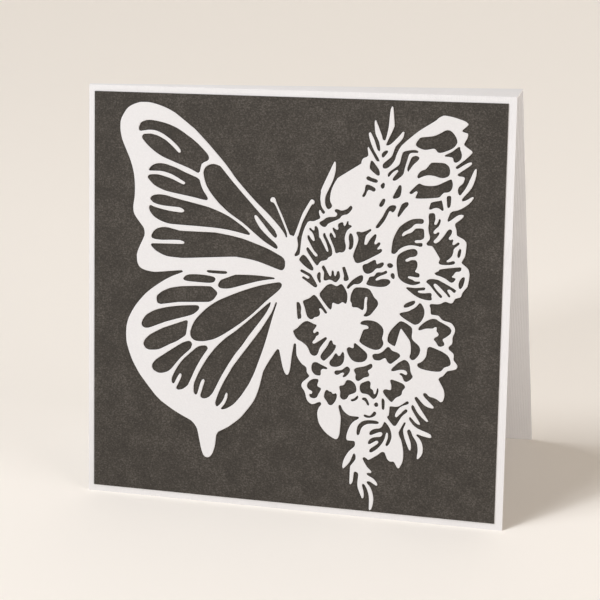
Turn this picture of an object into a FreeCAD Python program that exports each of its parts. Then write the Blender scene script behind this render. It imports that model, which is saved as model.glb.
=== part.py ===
import FreeCAD, Part
import Sketcher
import math
import os

# A folded greeting card that stands on its two open edges like a tent.
# A dark mat is glued on the front leaf, and a white butterfly cut from one sheet is glued on the mat.
# Millimetres and degrees. The middle of the card's footprint on the table is the origin,
# X runs to the viewer's right, Y runs from the front leaf to the back leaf, and Z is up.

# Driving dimensions.
DRIVING = [
    ("card_width", "150"),
    ("leaf_length", "144"),
    ("card_thick", "0.4"),
    ("front_lean", "13.9"),
    ("back_lean", "10.2"),
    ("spine_left", "1.2"),
    ("spine_right", "10"),
    ("foot_inset", "3"),
    ("border_left", "2.2"),
    ("border_right", "2.7"),
    ("border_foot", "2.2"),
    ("border_top", "2.2"),
    ("mat_thick", "0.3"),
    ("butterfly_thick", "0.5"),
    ("drawn_width", "150"),
    ("drawn_length", "144"),
]
# Sizes that follow from them. A cut is the width of a leaf's edge where it meets the table,
# and a reach is how far a leaf's top is set back from its foot. The foot inset is how far the back
# leaf's right edge runs in by the time it meets the table, because the sheet was folded a little askew.
FOLLOWING = [
    ("top_height", "=leaf_length * cos(front_lean)"),
    ("front_reach", "=leaf_length * sin(front_lean)"),
    ("back_reach", "=top_height * tan(back_lean)"),
    ("front_cut", "=card_thick / cos(front_lean)"),
    ("back_cut", "=card_thick / cos(back_lean)"),
    ("inner_height", "=top_height - card_thick"),
    ("front_inner", "=inner_height * tan(front_lean) + front_cut"),
    ("back_inner", "=card_thick * tan(back_lean) - back_cut"),
    ("depth", "=front_reach + spine_right + back_reach"),
    ("mat_width", "=card_width - border_left - border_right"),
    ("mat_length", "=leaf_length - border_foot - border_top"),
    ("butterfly_scale", "=min(card_width / drawn_width; leaf_length / drawn_length)"),
]

# The butterfly's lines are drawn on a leaf of the drawn width and length.
# Each point is its distance from the leaf's left edge and its height up the leaf.

# The cut edge of the forewing, from the root beside the left antenna, round the tip, to the notch.
FOREWING_EDGE = [
    (72.8, 94.45), (72.05, 95.9), (70.2, 98.2), (68.0, 100.5), (65.0, 103.4), (62.3, 105.7), (60.0, 108.0),
    (57.1, 111.1), (55.0, 113.2), (52.3, 116.6), (50.0, 119.3), (48.0, 121.4), (45.0, 124.6), (40.1, 129.4),
    (36.4, 132.2), (32.9, 134.8), (30.0, 136.4), (27.4, 137.4), (25.0, 138.1), (22.9, 138.5), (20.6, 138.6),
    (19.0, 138.4), (17.4, 137.9), (16.1, 137.3), (15.0, 136.6), (14.0, 135.5), (13.1, 134.1), (12.4, 132.7),
    (12.05, 131.2), (12.05, 129.1), (12.3, 127.3), (12.8, 125.4), (13.6, 123.5), (14.5, 121.5), (15.2, 120.0),
    (16.0, 118.0), (16.7, 115.8), (17.25, 113.3), (17.5, 110.6), (17.55, 108.0), (17.4, 105.5), (17.0, 102.8),
    (17.05, 101.0), (17.55, 99.6), (18.5, 98.2), (19.6, 96.9), (20.7, 95.5), (21.2, 94.2), (21.2, 92.8),
    (20.7, 91.3), (19.9, 89.7), (19.1, 88.0), (18.5, 86.2), (18.4, 84.6), (18.7, 82.9), (19.4, 81.6),
    (20.4, 80.9), (21.9, 80.4), (24.0, 80.1), (26.2, 80.1), (28.8, 80.4), (31.6, 80.8), (34.2, 81.1),
    (35.2, 81.1), (35.6, 80.85),
]
# The cut edge of the hindwing, from the notch, round the tail, to the body.
HINDWING_EDGE = [
    (35.6, 80.85), (35.3, 80.5), (34.6, 80.2), (33.4, 79.7), (31.5, 78.9), (29.4, 77.8), (27.3, 76.5),
    (25.0, 74.9), (22.8, 73.2), (21.0, 71.5), (19.4, 69.7), (17.8, 67.6), (16.4, 65.3), (15.3, 63.0),
    (14.7, 60.7), (14.5, 58.2), (14.6, 55.7), (15.0, 53.5), (15.7, 51.4), (16.7, 48.8), (18.1, 46.2),
    (19.5, 44.0), (21.3, 41.6), (23.0, 39.7), (25.0, 37.3), (27.3, 35.1), (29.9, 33.3), (32.8, 31.6),
    (35.5, 30.2), (37.8, 29.2), (39.4, 28.3), (40.6, 27.1), (41.3, 25.8), (41.8, 24.2), (42.3, 21.9),
    (42.8, 19.5), (43.5, 17.3), (44.3, 16.2), (45.1, 15.95), (46.1, 16.2), (47.1, 17.5), (47.8, 19.5),
    (48.2, 21.4), (48.4, 23.6), (48.8, 24.8), (49.6, 25.6), (52.3, 27.1), (54.9, 29.0), (57.3, 31.1),
    (59.7, 34.0), (61.3, 36.2), (62.6, 38.5), (63.5, 40.8), (64.2, 43.2), (64.7, 45.3), (65.2, 47.4),
    (66.3, 49.8), (67.6, 52.0), (68.9, 53.9), (69.8, 55.4), (70.4, 56.0),
]
# Head, antennae and the leafy half, in straight runs clockwise from the wing root to the body's tip.
LEAFY_EDGE = [
    (72.8, 94.45), (73.1, 94.7), (73.1, 95.3), (72.8, 96.6), (71.5, 99.6), (70.4, 102.0), (69.4, 103.9),
    (68.9, 105.0), (68.5, 105.7), (67.9, 106.0), (67.3, 106.3), (66.95, 106.9), (67.1, 107.5), (67.6, 107.9),
    (68.2, 107.9), (68.7, 107.5), (68.9, 106.9), (69.3, 105.9), (70.3, 103.9), (71.5, 101.4), (72.5, 99.2),
    (73.3, 97.2), (73.9, 95.9), (74.4, 95.45), (75.05, 95.25), (75.7, 95.55), (76.0, 96.2), (76.5, 97.7),
    (77.3, 100.0), (78.2, 102.3), (79.4, 104.6), (80.3, 106.1), (80.8, 106.9), (81.2, 107.6), (81.8, 107.8),
    (82.4, 107.5), (82.6, 106.9), (82.2, 106.2), (81.4, 105.7), (80.9, 104.8), (79.8, 102.7), (78.8, 100.7),
    (78.0, 98.6), (77.5, 96.9), (77.1, 95.5), (76.7, 94.6), (76.85, 93.6), (77.0, 92.5), (76.9, 91.3),
    (76.6, 90.15), (76.0, 89.1), (75.9, 88.5), (76.4, 88.3), (77.3, 88.8), (77.75, 89.6), (77.9, 90.9),
    (78.1, 92.9), (78.3, 94.8), (78.7, 96.3), (79.2, 97.9), (79.8, 99.2), (80.35, 100.1), (81.1, 100.5),
    (82.1, 100.5), (82.9, 100.7), (83.8, 101.2), (84.6, 101.6), (84.7, 102.1), (84.3, 103.1), (84.2, 103.9),
    (84.5, 104.45), (84.9, 104.1), (85.35, 103.4), (85.9, 103.15), (86.3, 103.4), (86.3, 103.9), (85.5, 104.9),
    (85.0, 105.9), (84.7, 107.3), (84.6, 108.6), (84.8, 110.3), (85.15, 112.0), (85.9, 113.6), (87.0, 115.9),
    (88.0, 118.2), (88.8, 119.9), (89.2, 120.75), (89.5, 120.9), (89.75, 120.5), (89.8, 119.3), (89.7, 117.7),
    (89.3, 115.9), (88.7, 114.1), (87.9, 112.4), (87.0, 110.5), (86.4, 109.0), (86.25, 107.6), (86.4, 106.3),
    (86.9, 105.2), (87.5, 104.8), (88.1, 105.05), (88.7, 105.7), (88.75, 106.2), (88.3, 107.0), (88.0, 107.9),
    (88.0, 108.9), (88.2, 110.4), (88.7, 112.1), (89.4, 113.6), (90.15, 114.8), (91.1, 115.8), (92.3, 116.6),
    (94.0, 117.7), (95.5, 118.6), (96.9, 119.5), (98.0, 120.2), (98.5, 120.7), (98.75, 121.6), (99.2, 122.3),
    (100.1, 122.7), (100.7, 123.1), (100.9, 123.8), (100.7, 125.0), (100.6, 125.8), (100.9, 126.2), (101.2, 125.8),
    (101.7, 124.9), (102.5, 123.7), (103.4, 122.2), (104.0, 121.5), (104.5, 121.5), (104.7, 122.0),
    (104.2, 122.9), (103.4, 124.1), (102.6, 125.5), (101.9, 127.1), (101.3, 128.7), (101.0, 129.9),
    (100.9, 130.6), (101.2, 131.0), (101.6, 130.9), (102.1, 130.1), (102.8, 128.7), (103.3, 127.2),
    (103.8, 125.9), (104.2, 125.1), (104.7, 124.9), (104.9, 125.5), (104.8, 126.6), (104.4, 128.1),
    (103.6, 129.7), (103.1, 131.2), (102.9, 132.8), (102.8, 134.3), (103.1, 135.0), (103.5, 134.6),
    (104.0, 133.3), (104.7, 131.6), (105.35, 130.2), (105.6, 129.2), (105.9, 128.6), (106.4, 128.5),
    (106.8, 129.1), (107.1, 130.5), (107.6, 132.8), (107.85, 135.1), (108.0, 137.4), (108.3, 139.1),
    (108.7, 139.8), (109.0, 139.5), (109.2, 138.2), (109.4, 135.6), (109.6, 133.7), (109.4, 132.8),
    (108.9, 131.5), (108.2, 130.0), (107.5, 128.4), (107.0, 127.4), (107.2, 126.9), (107.85, 127.0),
    (108.8, 127.6), (110.0, 128.8), (111.1, 129.9), (112.1, 131.1), (112.6, 131.6), (113.0, 131.4),
    (112.9, 130.6), (112.5, 129.4), (111.5, 128.1), (110.5, 127.0), (109.95, 126.1), (109.6, 125.0),
    (109.1, 123.7), (108.4, 122.8), (107.3, 121.9), (106.3, 121.0), (105.9, 120.1), (106.1, 119.4),
    (106.8, 119.2), (107.85, 119.6), (109.0, 120.7), (110.0, 122.2), (110.5, 123.8), (111.1, 125.2),
    (111.9, 126.6), (113.0, 127.8), (115.0, 129.5), (117.7, 131.8), (121.5, 134.3), (123.1, 135.3),
    (124.4, 136.4), (125.6, 137.1), (126.7, 137.3), (127.9, 137.1), (129.6, 136.8), (131.3, 136.3),
    (132.9, 135.8), (134.0, 135.2), (134.4, 134.7), (133.9, 134.0), (133.1, 133.3), (132.5, 132.7),
    (132.7, 132.2), (133.5, 131.9), (134.3, 131.7), (134.4, 131.2), (134.1, 130.1), (133.6, 129.1),
    (133.2, 128.3), (133.6, 127.6), (134.8, 126.7), (135.9, 126.0), (136.0, 125.5), (135.0, 124.5),
    (133.85, 123.3), (132.3, 122.0), (131.1, 121.1), (130.6, 120.7), (130.7, 120.3), (131.3, 120.1),
    (132.1, 120.6), (133.5, 121.5), (134.8, 122.2), (135.8, 122.4), (136.0, 122.0), (135.2, 121.1),
    (134.0, 120.2), (132.5, 119.2), (131.4, 118.4), (131.3, 118.0), (131.7, 117.7), (133.1, 117.6),
    (133.7, 117.2), (133.6, 116.4), (133.1, 115.3), (132.1, 114.4), (131.6, 113.5), (131.6, 112.6),
    (131.9, 111.7), (132.4, 111.5), (133.0, 112.2), (133.8, 113.5), (134.4, 114.3), (135.0, 115.7),
    (135.9, 117.7), (136.6, 119.3), (137.1, 120.2), (137.5, 120.4), (137.6, 119.7), (137.5, 118.2),
    (137.0, 116.2), (136.3, 114.4), (135.3, 112.9), (133.7, 111.1), (133.0, 110.1), (133.1, 109.6),
    (133.9, 109.7), (135.1, 110.3), (136.2, 111.0), (136.8, 111.1), (136.9, 110.7), (136.4, 110.0),
    (135.5, 108.9), (134.1, 107.8), (132.8, 107.0), (131.4, 106.4), (130.1, 106.1), (129.3, 105.5),
    (128.8, 104.4), (128.4, 103.2), (128.5, 102.7), (129.2, 102.9), (130.3, 103.8), (131.6, 104.7),
    (132.8, 105.1), (133.7, 105.0), (133.7, 104.5), (132.8, 103.5), (131.6, 102.6), (131.0, 102.0),
    (131.1, 101.1), (131.5, 100.0), (131.6, 98.8), (131.9, 98.1), (132.8, 97.6), (133.9, 97.1),
    (134.7, 96.3), (135.0, 95.3), (134.9, 93.6), (134.7, 91.9), (134.1, 90.5), (133.6, 89.6),
    (133.8, 89.0), (134.7, 88.3), (135.65, 87.5), (136.2, 86.3), (136.3, 84.9), (136.1, 83.4),
    (135.9, 82.0), (135.4, 81.0), (134.8, 80.2), (134.3, 79.6), (134.0, 79.0), (133.8, 78.2), (133.3, 77.7),
    (132.3, 77.4), (131.7, 77.1), (131.4, 76.6), (131.1, 76.0), (130.5, 75.6), (129.7, 75.7), (128.7, 76.0),
    (127.9, 75.8), (126.8, 75.2), (125.5, 75.0), (124.0, 75.0), (123.5, 74.9), (123.2, 74.4), (123.5, 73.5),
    (123.6, 72.4), (123.7, 71.7), (124.2, 71.4), (125.4, 71.3), (126.4, 71.1), (127.1, 70.5), (127.8, 69.8),
    (129.0, 69.5), (130.4, 69.1), (131.3, 68.4), (131.9, 67.4), (132.0, 66.2), (131.7, 65.2), (131.3, 64.2),
    (131.3, 63.0), (131.1, 62.0), (130.4, 61.3), (130.0, 60.7), (130.3, 60.0), (131.0, 59.4), (131.7, 58.8),
    (131.9, 57.8), (131.9, 56.6), (132.4, 55.9), (133.0, 55.2), (133.2, 54.4), (132.8, 53.7), (131.9, 53.3),
    (130.4, 52.9), (129.7, 52.6), (129.1, 51.9), (128.4, 51.0), (127.6, 50.6), (127.0, 50.0), (127.1, 49.4),
    (127.8, 48.2), (128.5, 47.0), (129.0, 45.6), (129.1, 44.3), (128.9, 43.2), (128.6, 42.5), (128.1, 42.1),
    (127.5, 42.3), (126.6, 42.9), (125.4, 43.4), (124.3, 43.6), (123.6, 44.0), (123.0, 44.6), (122.4, 44.8),
    (121.9, 44.6), (121.85, 44.1), (122.6, 43.1), (123.6, 42.1), (124.8, 41.1), (125.5, 40.4), (125.6, 40.0),
    (125.1, 39.75), (124.0, 39.9), (122.8, 40.4), (121.8, 41.1), (121.0, 41.9), (120.2, 42.8), (119.6, 43.3),
    (119.15, 43.1), (119.0, 42.5), (119.6, 41.5), (121.0, 39.4), (122.5, 37.2), (123.6, 35.7), (123.8, 35.2),
    (123.4, 35.0), (122.4, 35.7), (121.1, 36.8), (119.9, 38.2), (119.1, 39.5), (118.7, 40.2), (118.3, 40.4),
    (117.95, 40.1), (118.0, 39.2), (119.0, 37.4), (120.2, 35.6), (121.0, 34.3), (120.8, 33.8), (120.3, 33.9),
    (119.3, 34.6), (118.3, 35.6), (117.7, 36.2), (117.3, 36.1), (117.3, 35.4), (118.2, 34.1), (119.4, 33.0),
    (121.0, 32.2), (122.8, 31.6), (124.2, 31.1), (125.0, 30.4), (125.0, 29.8), (124.4, 29.65), (122.6, 29.9),
    (121.0, 30.25), (120.2, 30.5), (119.85, 30.3), (120.2, 29.8), (121.1, 28.9), (121.8, 27.7), (122.2, 26.2),
    (122.2, 24.6), (121.8, 23.3), (121.1, 22.4), (120.6, 22.0), (120.3, 22.1), (120.3, 23.1), (120.5, 24.6),
    (120.4, 26.2), (120.1, 27.5), (119.5, 28.6), (118.7, 29.7), (118.2, 30.9), (117.7, 31.7), (117.2, 31.9),
    (116.8, 31.6), (116.8, 30.7), (117.3, 29.4), (117.8, 28.0), (118.1, 26.6), (118.15, 25.5), (117.9, 24.8),
    (117.4, 25.1), (116.9, 26.1), (116.3, 27.6), (115.7, 29.3), (115.35, 30.9), (115.4, 32.1), (115.8, 33.1),
    (116.1, 33.8), (115.9, 34.3), (115.5, 34.1), (115.0, 33.1), (114.4, 31.9), (113.9, 31.0), (113.8, 30.2),
    (114.1, 29.2), (114.7, 28.0), (115.1, 26.5), (115.4, 25.0), (115.55, 23.3), (115.5, 21.7), (115.2, 20.2),
    (114.7, 19.1), (114.3, 18.4), (114.0, 18.2), (113.6, 18.4), (113.1, 19.2), (112.6, 20.0), (112.1, 20.4),
    (111.2, 20.3), (110.5, 20.6), (109.9, 21.3), (109.5, 22.3), (109.1, 23.1), (108.5, 23.4), (107.8, 23.2),
    (106.6, 22.2), (105.0, 21.1), (103.9, 20.4), (103.2, 20.3), (102.6, 20.8), (102.0, 21.0), (101.5, 20.8),
    (101.5, 20.2), (102.1, 19.3), (102.7, 18.2), (103.4, 17.4), (104.3, 16.6), (104.6, 16.1), (104.4, 15.7),
    (103.5, 15.7), (103.0, 15.5), (103.1, 15.0), (104.1, 14.5), (105.2, 13.9), (106.1, 13.1), (106.7, 12.3),
    (106.8, 11.8), (106.3, 11.55), (105.4, 12.1), (104.4, 12.6), (103.5, 12.8), (103.1, 12.6), (103.2, 12.0),
    (104.0, 11.2), (104.7, 10.0), (105.2, 8.6), (105.5, 6.9), (105.4, 5.2), (105.1, 3.9), (104.7, 3.0),
    (104.3, 2.75), (104.0, 3.0), (104.05, 4.6), (104.0, 6.6), (103.75, 8.3), (103.3, 9.7), (102.7, 10.9),
    (102.2, 11.6), (101.8, 11.7), (101.4, 11.3), (101.6, 10.3), (102.0, 9.0), (102.1, 7.5), (101.9, 6.7),
    (101.5, 6.65), (101.1, 7.4), (100.4, 9.0), (99.9, 10.4), (99.75, 11.9), (99.9, 13.4), (100.0, 14.7),
    (99.7, 15.4), (99.2, 15.7), (98.7, 15.65), (98.4, 15.2), (98.3, 13.9), (98.1, 12.4), (97.7, 11.5),
    (97.2, 11.1), (96.95, 11.5), (96.95, 13.2), (97.05, 15.2), (97.05, 16.9), (97.4, 17.9), (98.1, 18.8),
    (98.7, 19.7), (98.95, 20.7), (98.8, 21.6), (98.4, 22.0), (98.0, 21.7), (97.5, 20.4), (96.9, 19.0),
    (96.0, 17.8), (95.2, 16.9), (94.6, 16.5), (94.3, 16.9), (94.4, 18.2), (94.9, 19.9), (95.7, 21.4),
    (96.6, 22.7), (97.5, 23.6), (98.3, 24.3), (98.6, 25.0), (98.55, 25.8), (98.2, 26.3), (97.2, 26.3),
    (96.1, 26.35), (95.6, 26.7), (95.5, 27.8), (95.8, 29.2), (96.4, 30.8), (97.1, 32.1), (98.0, 33.1),
    (99.1, 33.8), (99.8, 34.4), (99.6, 34.8), (98.3, 34.8), (96.9, 34.9), (95.8, 35.3), (94.8, 36.0),
    (93.9, 37.0), (93.5, 37.9), (93.1, 38.4), (92.7, 38.3), (92.5, 37.6), (92.8, 36.4), (93.2, 34.9),
    (93.35, 33.1), (93.2, 31.0), (93.1, 29.0), (92.8, 27.5), (92.3, 26.6), (91.6, 26.4), (90.4, 26.9),
    (88.9, 27.8), (87.6, 28.9), (86.5, 30.2), (85.7, 31.5), (85.2, 33.2), (85.0, 34.8), (85.2, 36.1),
    (85.6, 37.0), (86.2, 37.8), (86.3, 38.4), (85.9, 38.8), (85.0, 38.6), (84.0, 38.1), (83.1, 37.9),
    (82.2, 38.2), (81.4, 39.0), (80.9, 40.1), (80.6, 41.3), (80.2, 42.3), (79.5, 43.2), (79.15, 44.0),
    (79.3, 44.8), (79.8, 45.5), (80.7, 46.3), (81.6, 47.1), (81.85, 47.7), (81.3, 48.4), (80.95, 49.1),
    (80.9, 50.0), (80.5, 50.7), (79.4, 51.4), (78.5, 52.3), (77.7, 53.5), (77.2, 54.8), (77.05, 56.4),
    (77.0, 57.9), (76.8, 58.4), (76.4, 58.4), (76.1, 57.8), (75.8, 56.2), (75.5, 54.0), (75.25, 51.9),
    (75.0, 49.7), (74.6, 48.1), (74.2, 47.4), (73.7, 47.35), (73.1, 48.1), (72.5, 49.5), (71.9, 51.7),
    (71.4, 53.8), (71.1, 55.3), (70.8, 55.9), (70.4, 56.0),
]
# Windows of the wing half, each one smooth closed line.
WING_WINDOWS = [
    [(19.5, 128.65), (18.95, 129.2), (18.95, 130.0), (19.4, 131.1), (20.1, 131.8), (21.4, 132.3), (23.2, 132.5),
     (25.3, 132.3), (28.0, 131.8), (30.0, 131.2), (32.7, 130.2), (35.0, 128.9), (37.4, 127.4), (39.8, 125.7),
     (42.2, 123.6), (43.9, 121.9), (44.6, 120.8), (44.65, 119.9), (44.0, 119.25), (42.8, 118.7), (42.0, 117.9),
     (41.7, 116.7), (41.4, 115.5), (40.8, 115.05), (40.0, 115.35), (38.5, 116.1), (36.4, 116.95), (33.7, 117.9),
     (31.4, 118.7), (29.5, 119.4), (27.2, 120.4), (25.3, 121.5), (23.5, 122.8), (21.9, 124.2), (20.6, 125.6),
     (20.1, 126.5), (20.3, 127.2), (21.1, 127.65), (23.0, 127.8), (25.0, 127.5), (27.2, 126.7), (29.3, 125.5),
     (31.4, 123.8), (32.9, 122.4), (33.6, 121.75), (34.15, 121.7), (34.4, 122.3), (33.9, 123.2), (32.2, 124.9),
     (30.0, 126.6), (27.9, 127.9), (26.1, 128.7), (24.3, 129.1), (22.4, 129.1), (20.8, 128.85)],
    [(22.95, 115.15), (22.85, 115.75), (23.6, 116.7), (25.0, 117.5), (26.6, 117.8), (28.5, 117.7), (30.6, 117.15),
     (33.2, 116.3), (36.1, 115.05), (38.5, 114.15), (40.6, 113.3), (41.5, 112.4), (41.9, 111.0), (42.7, 109.2),
     (43.9, 107.5), (44.4, 106.6), (44.3, 106.0), (43.5, 105.85), (41.6, 106.2), (38.7, 106.75), (35.3, 107.3),
     (32.2, 107.85), (30.0, 108.2), (27.9, 108.8), (26.1, 109.5), (24.5, 110.4), (23.2, 111.6), (22.35, 112.6),
     (22.4, 113.3), (23.2, 113.75), (25.3, 113.95), (27.4, 113.7), (29.5, 113.1), (31.6, 112.45), (33.7, 111.55),
     (35.0, 111.0), (35.8, 110.95), (36.1, 111.4), (35.6, 111.9), (33.7, 112.85), (31.6, 114.0), (30.0, 114.55),
     (27.9, 115.05), (25.3, 115.2)],
    [(23.3, 105.4), (23.7, 106.2), (24.8, 106.8), (26.4, 107.05), (28.5, 106.95), (30.6, 106.55), (33.2, 105.9),
     (36.6, 105.2), (40.0, 104.5), (43.2, 103.85), (46.4, 102.95), (50.0, 101.65), (52.8, 100.3), (55.2, 98.8),
     (57.6, 97.2), (59.5, 95.6), (59.8, 94.95), (59.3, 94.65), (57.6, 95.0), (55.2, 95.5), (52.3, 96.0),
     (49.2, 96.35), (45.2, 96.6), (41.3, 96.75), (37.6, 96.8), (35.3, 96.9), (32.2, 97.0), (30.0, 97.2),
     (28.2, 97.65), (26.4, 98.35), (24.8, 99.3), (23.6, 100.5), (22.95, 101.7), (22.85, 102.6), (23.25, 103.15),
     (24.0, 103.05), (25.6, 102.5), (27.4, 102.1), (29.8, 101.65), (32.2, 101.35), (34.3, 101.2), (35.4, 101.3),
     (35.85, 101.8), (35.3, 102.45), (34.3, 102.85), (32.4, 103.05), (30.0, 103.15), (27.4, 103.4), (25.3, 103.85),
     (24.1, 104.45)],
    [(24.0, 91.9), (23.75, 92.6), (24.1, 93.5), (25.0, 94.6), (26.4, 95.45), (28.2, 95.8), (30.0, 95.75),
     (32.2, 95.3), (34.3, 94.95), (36.9, 94.8), (40.6, 94.85), (44.5, 94.9), (48.0, 94.8), (52.8, 94.15),
     (55.0, 93.75), (58.4, 92.95), (61.5, 92.0), (64.9, 90.85), (67.6, 89.75), (69.9, 88.6), (71.5, 87.8),
     (72.4, 86.7), (72.6, 85.3), (72.3, 84.0), (71.5, 83.25), (70.5, 83.4), (68.6, 83.95), (66.3, 84.75),
     (63.6, 85.55), (61.3, 86.1), (58.6, 86.55), (56.0, 86.8), (53.1, 86.85), (49.9, 86.65), (46.5, 86.35),
     (42.3, 85.95), (38.6, 85.65), (35.3, 85.5), (32.7, 85.55), (30.3, 85.7), (28.5, 86.1), (26.9, 86.75),
     (25.3, 87.65), (24.1, 88.7), (23.65, 89.4), (24.0, 89.9), (25.3, 90.0), (27.9, 90.05), (31.4, 90.15),
     (34.3, 90.25), (35.6, 90.35), (36.0, 90.7), (35.8, 91.15), (34.8, 91.5), (33.2, 91.6), (30.6, 91.5),
     (27.9, 91.35), (25.8, 91.45), (24.8, 91.6)],
    [(42.75, 115.0), (42.9, 116.05), (43.5, 117.1), (44.7, 117.95), (46.3, 118.3), (47.8, 118.05), (49.2, 117.3),
     (50.2, 116.2), (51.3, 114.9), (53.1, 112.9), (55.2, 110.7), (57.3, 108.55), (59.7, 106.05), (62.0, 103.6),
     (64.2, 101.4), (66.3, 99.3), (68.1, 97.4), (69.2, 95.8), (69.55, 94.8), (69.2, 94.3), (68.6, 94.35),
     (67.0, 95.9), (64.9, 98.3), (63.4, 100.1), (62.3, 101.3), (61.7, 101.6), (61.35, 101.25), (61.5, 100.4),
     (62.3, 98.95), (63.6, 97.1), (65.2, 95.5), (67.0, 93.9), (68.9, 92.4), (69.75, 91.3), (69.75, 90.7),
     (69.3, 90.45), (68.1, 90.95), (66.0, 92.15), (63.6, 93.75), (61.3, 95.5), (59.7, 96.8), (57.6, 98.4),
     (54.95, 100.15), (52.3, 101.85), (49.95, 103.75), (48.1, 105.4), (46.3, 107.4), (44.95, 109.2), (43.9, 110.9),
     (43.2, 112.8)],
    [(44.3, 81.35), (44.6, 81.7), (46.0, 81.8), (49.0, 81.75), (51.2, 81.75), (51.8, 81.35), (51.3, 80.85),
     (49.0, 80.75), (46.5, 80.8), (44.8, 80.95)],
    [(35.7, 78.35), (36.4, 79.2), (37.6, 79.8), (39.7, 80.05), (42.6, 80.05), (45.2, 79.85), (47.0, 79.5),
     (47.55, 78.95), (47.3, 78.1), (46.4, 77.55), (44.7, 77.35), (42.0, 77.45), (39.4, 77.45), (37.0, 77.6),
     (36.0, 77.9)],
    [(25.85, 70.7), (26.0, 71.6), (26.8, 72.55), (28.4, 73.65), (30.5, 74.6), (32.8, 75.2), (35.7, 75.65),
     (38.9, 75.9), (42.0, 76.1), (45.2, 76.2), (46.4, 75.9), (47.2, 75.2), (48.0, 74.6), (48.25, 73.8),
     (47.7, 72.7), (46.5, 71.4), (45.2, 70.8), (42.6, 70.55), (39.4, 70.4), (36.3, 70.2), (33.4, 69.9),
     (30.5, 69.4), (28.1, 68.95), (27.0, 68.95), (26.1, 69.5)],
    [(20.3, 61.4), (20.4, 62.2), (20.9, 63.3), (21.9, 64.6), (23.6, 65.8), (25.7, 66.8), (28.4, 67.65),
     (31.5, 68.3), (34.7, 68.8), (37.8, 69.1), (40.7, 69.3), (41.55, 69.0), (41.65, 68.2), (40.9, 67.2),
     (39.4, 66.1), (37.3, 65.3), (34.7, 64.5), (32.0, 63.7), (29.4, 62.8), (26.8, 61.8), (24.7, 60.9),
     (22.8, 60.25), (21.5, 60.2), (20.7, 60.6)],
    [(21.05, 54.3), (21.2, 55.2), (21.9, 56.4), (23.4, 57.8), (25.2, 58.9), (27.8, 60.3), (30.5, 61.4),
     (33.1, 62.4), (35.2, 63.2), (36.9, 63.8), (37.5, 63.5), (37.5, 62.8), (37.3, 61.4), (37.1, 59.8),
     (36.7, 58.6), (35.5, 57.6), (33.4, 56.2), (31.0, 55.05), (28.9, 53.9), (26.8, 52.95), (24.7, 52.55),
     (22.8, 52.6), (21.7, 53.2)],
    [(24.3, 46.8), (24.55, 47.7), (25.7, 49.1), (27.8, 50.7), (30.2, 52.3), (32.6, 53.9), (34.9, 55.4),
     (36.5, 56.2), (38.1, 56.6), (39.0, 56.1), (39.15, 55.2), (38.4, 53.7), (36.8, 52.2), (34.9, 50.4),
     (33.3, 48.5), (32.0, 46.9), (30.6, 45.6), (29.2, 44.9), (27.6, 44.55), (26.3, 44.7), (25.1, 45.3),
     (24.45, 46.1)],
    [(45.0, 54.6), (44.6, 55.25), (43.4, 55.4), (41.5, 54.9), (39.9, 53.7), (38.1, 52.0), (36.3, 50.4),
     (34.7, 48.5), (33.4, 46.5), (32.5, 44.8), (31.9, 43.5), (31.7, 42.4), (31.85, 41.5), (32.3, 41.15),
     (32.75, 41.4), (33.2, 42.4), (33.9, 43.7), (34.55, 44.7), (35.1, 44.9), (35.35, 44.4), (35.2, 43.5),
     (34.5, 42.0), (33.8, 40.6), (33.45, 39.7), (33.9, 39.15), (35.2, 39.25), (36.5, 39.9), (37.6, 40.9),
     (38.5, 42.4), (39.5, 44.8), (40.8, 47.5), (42.2, 50.1), (43.7, 52.4), (44.6, 53.7)],
    [(67.7, 71.9), (67.3, 72.0), (66.3, 71.1), (64.4, 69.5), (62.3, 67.6), (60.0, 65.5), (57.6, 63.5),
     (55.0, 61.2), (52.8, 59.6), (51.0, 58.1), (49.4, 56.6), (47.8, 54.9), (46.5, 53.3), (44.9, 51.2),
     (43.4, 48.7), (41.9, 46.1), (40.8, 43.7), (40.1, 41.9), (39.85, 40.0), (40.05, 38.5), (40.7, 37.85),
     (41.3, 38.3), (41.7, 39.5), (42.3, 41.8), (43.0, 43.2), (43.55, 43.55), (43.9, 43.1), (43.8, 42.2),
     (43.1, 40.0), (42.6, 38.5), (42.5, 37.3), (43.4, 36.75), (44.7, 36.95), (46.1, 37.9), (47.3, 39.5),
     (48.1, 41.2), (49.2, 43.4), (50.5, 45.8), (52.0, 48.4), (53.6, 51.0), (55.2, 53.4), (56.7, 55.3),
     (58.4, 57.6), (60.0, 60.0), (62.2, 62.9), (63.9, 65.2), (65.3, 67.1), (66.5, 69.0), (67.4, 70.8)],
    [(69.8, 72.2), (69.4, 72.0), (68.9, 70.6), (68.0, 68.5), (66.9, 66.6), (65.5, 64.4), (63.9, 61.9),
     (62.0, 59.4), (60.0, 56.7), (58.4, 54.5), (56.7, 52.2), (55.0, 49.9), (53.3, 47.2), (51.9, 44.8),
     (50.7, 42.6), (49.7, 40.5), (48.9, 38.5), (48.2, 36.6), (48.0, 35.3), (48.3, 34.45), (48.9, 34.4),
     (49.9, 35.4), (50.9, 36.9), (51.5, 38.5), (51.9, 39.3), (52.35, 39.3), (52.45, 38.5), (52.2, 37.2),
     (51.5, 35.6), (50.5, 34.2), (50.1, 33.7), (50.4, 33.4), (51.5, 33.6), (53.1, 34.4), (54.9, 35.8),
     (56.8, 38.0), (58.4, 40.2), (60.0, 42.8), (61.3, 45.4), (62.6, 48.5), (63.7, 51.8), (64.8, 54.8),
     (65.7, 57.4), (66.5, 60.1), (67.3, 62.9), (68.0, 65.6), (68.8, 68.3), (69.4, 70.3), (69.9, 71.8)],
    [(71.5, 78.5), (71.0, 78.95), (70.2, 79.05), (68.1, 78.65), (64.9, 77.85), (62.0, 77.0), (59.2, 76.0),
     (56.3, 74.9), (53.4, 73.6), (50.5, 72.35), (48.1, 71.1), (46.0, 69.7), (44.2, 68.3), (42.3, 66.5),
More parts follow.
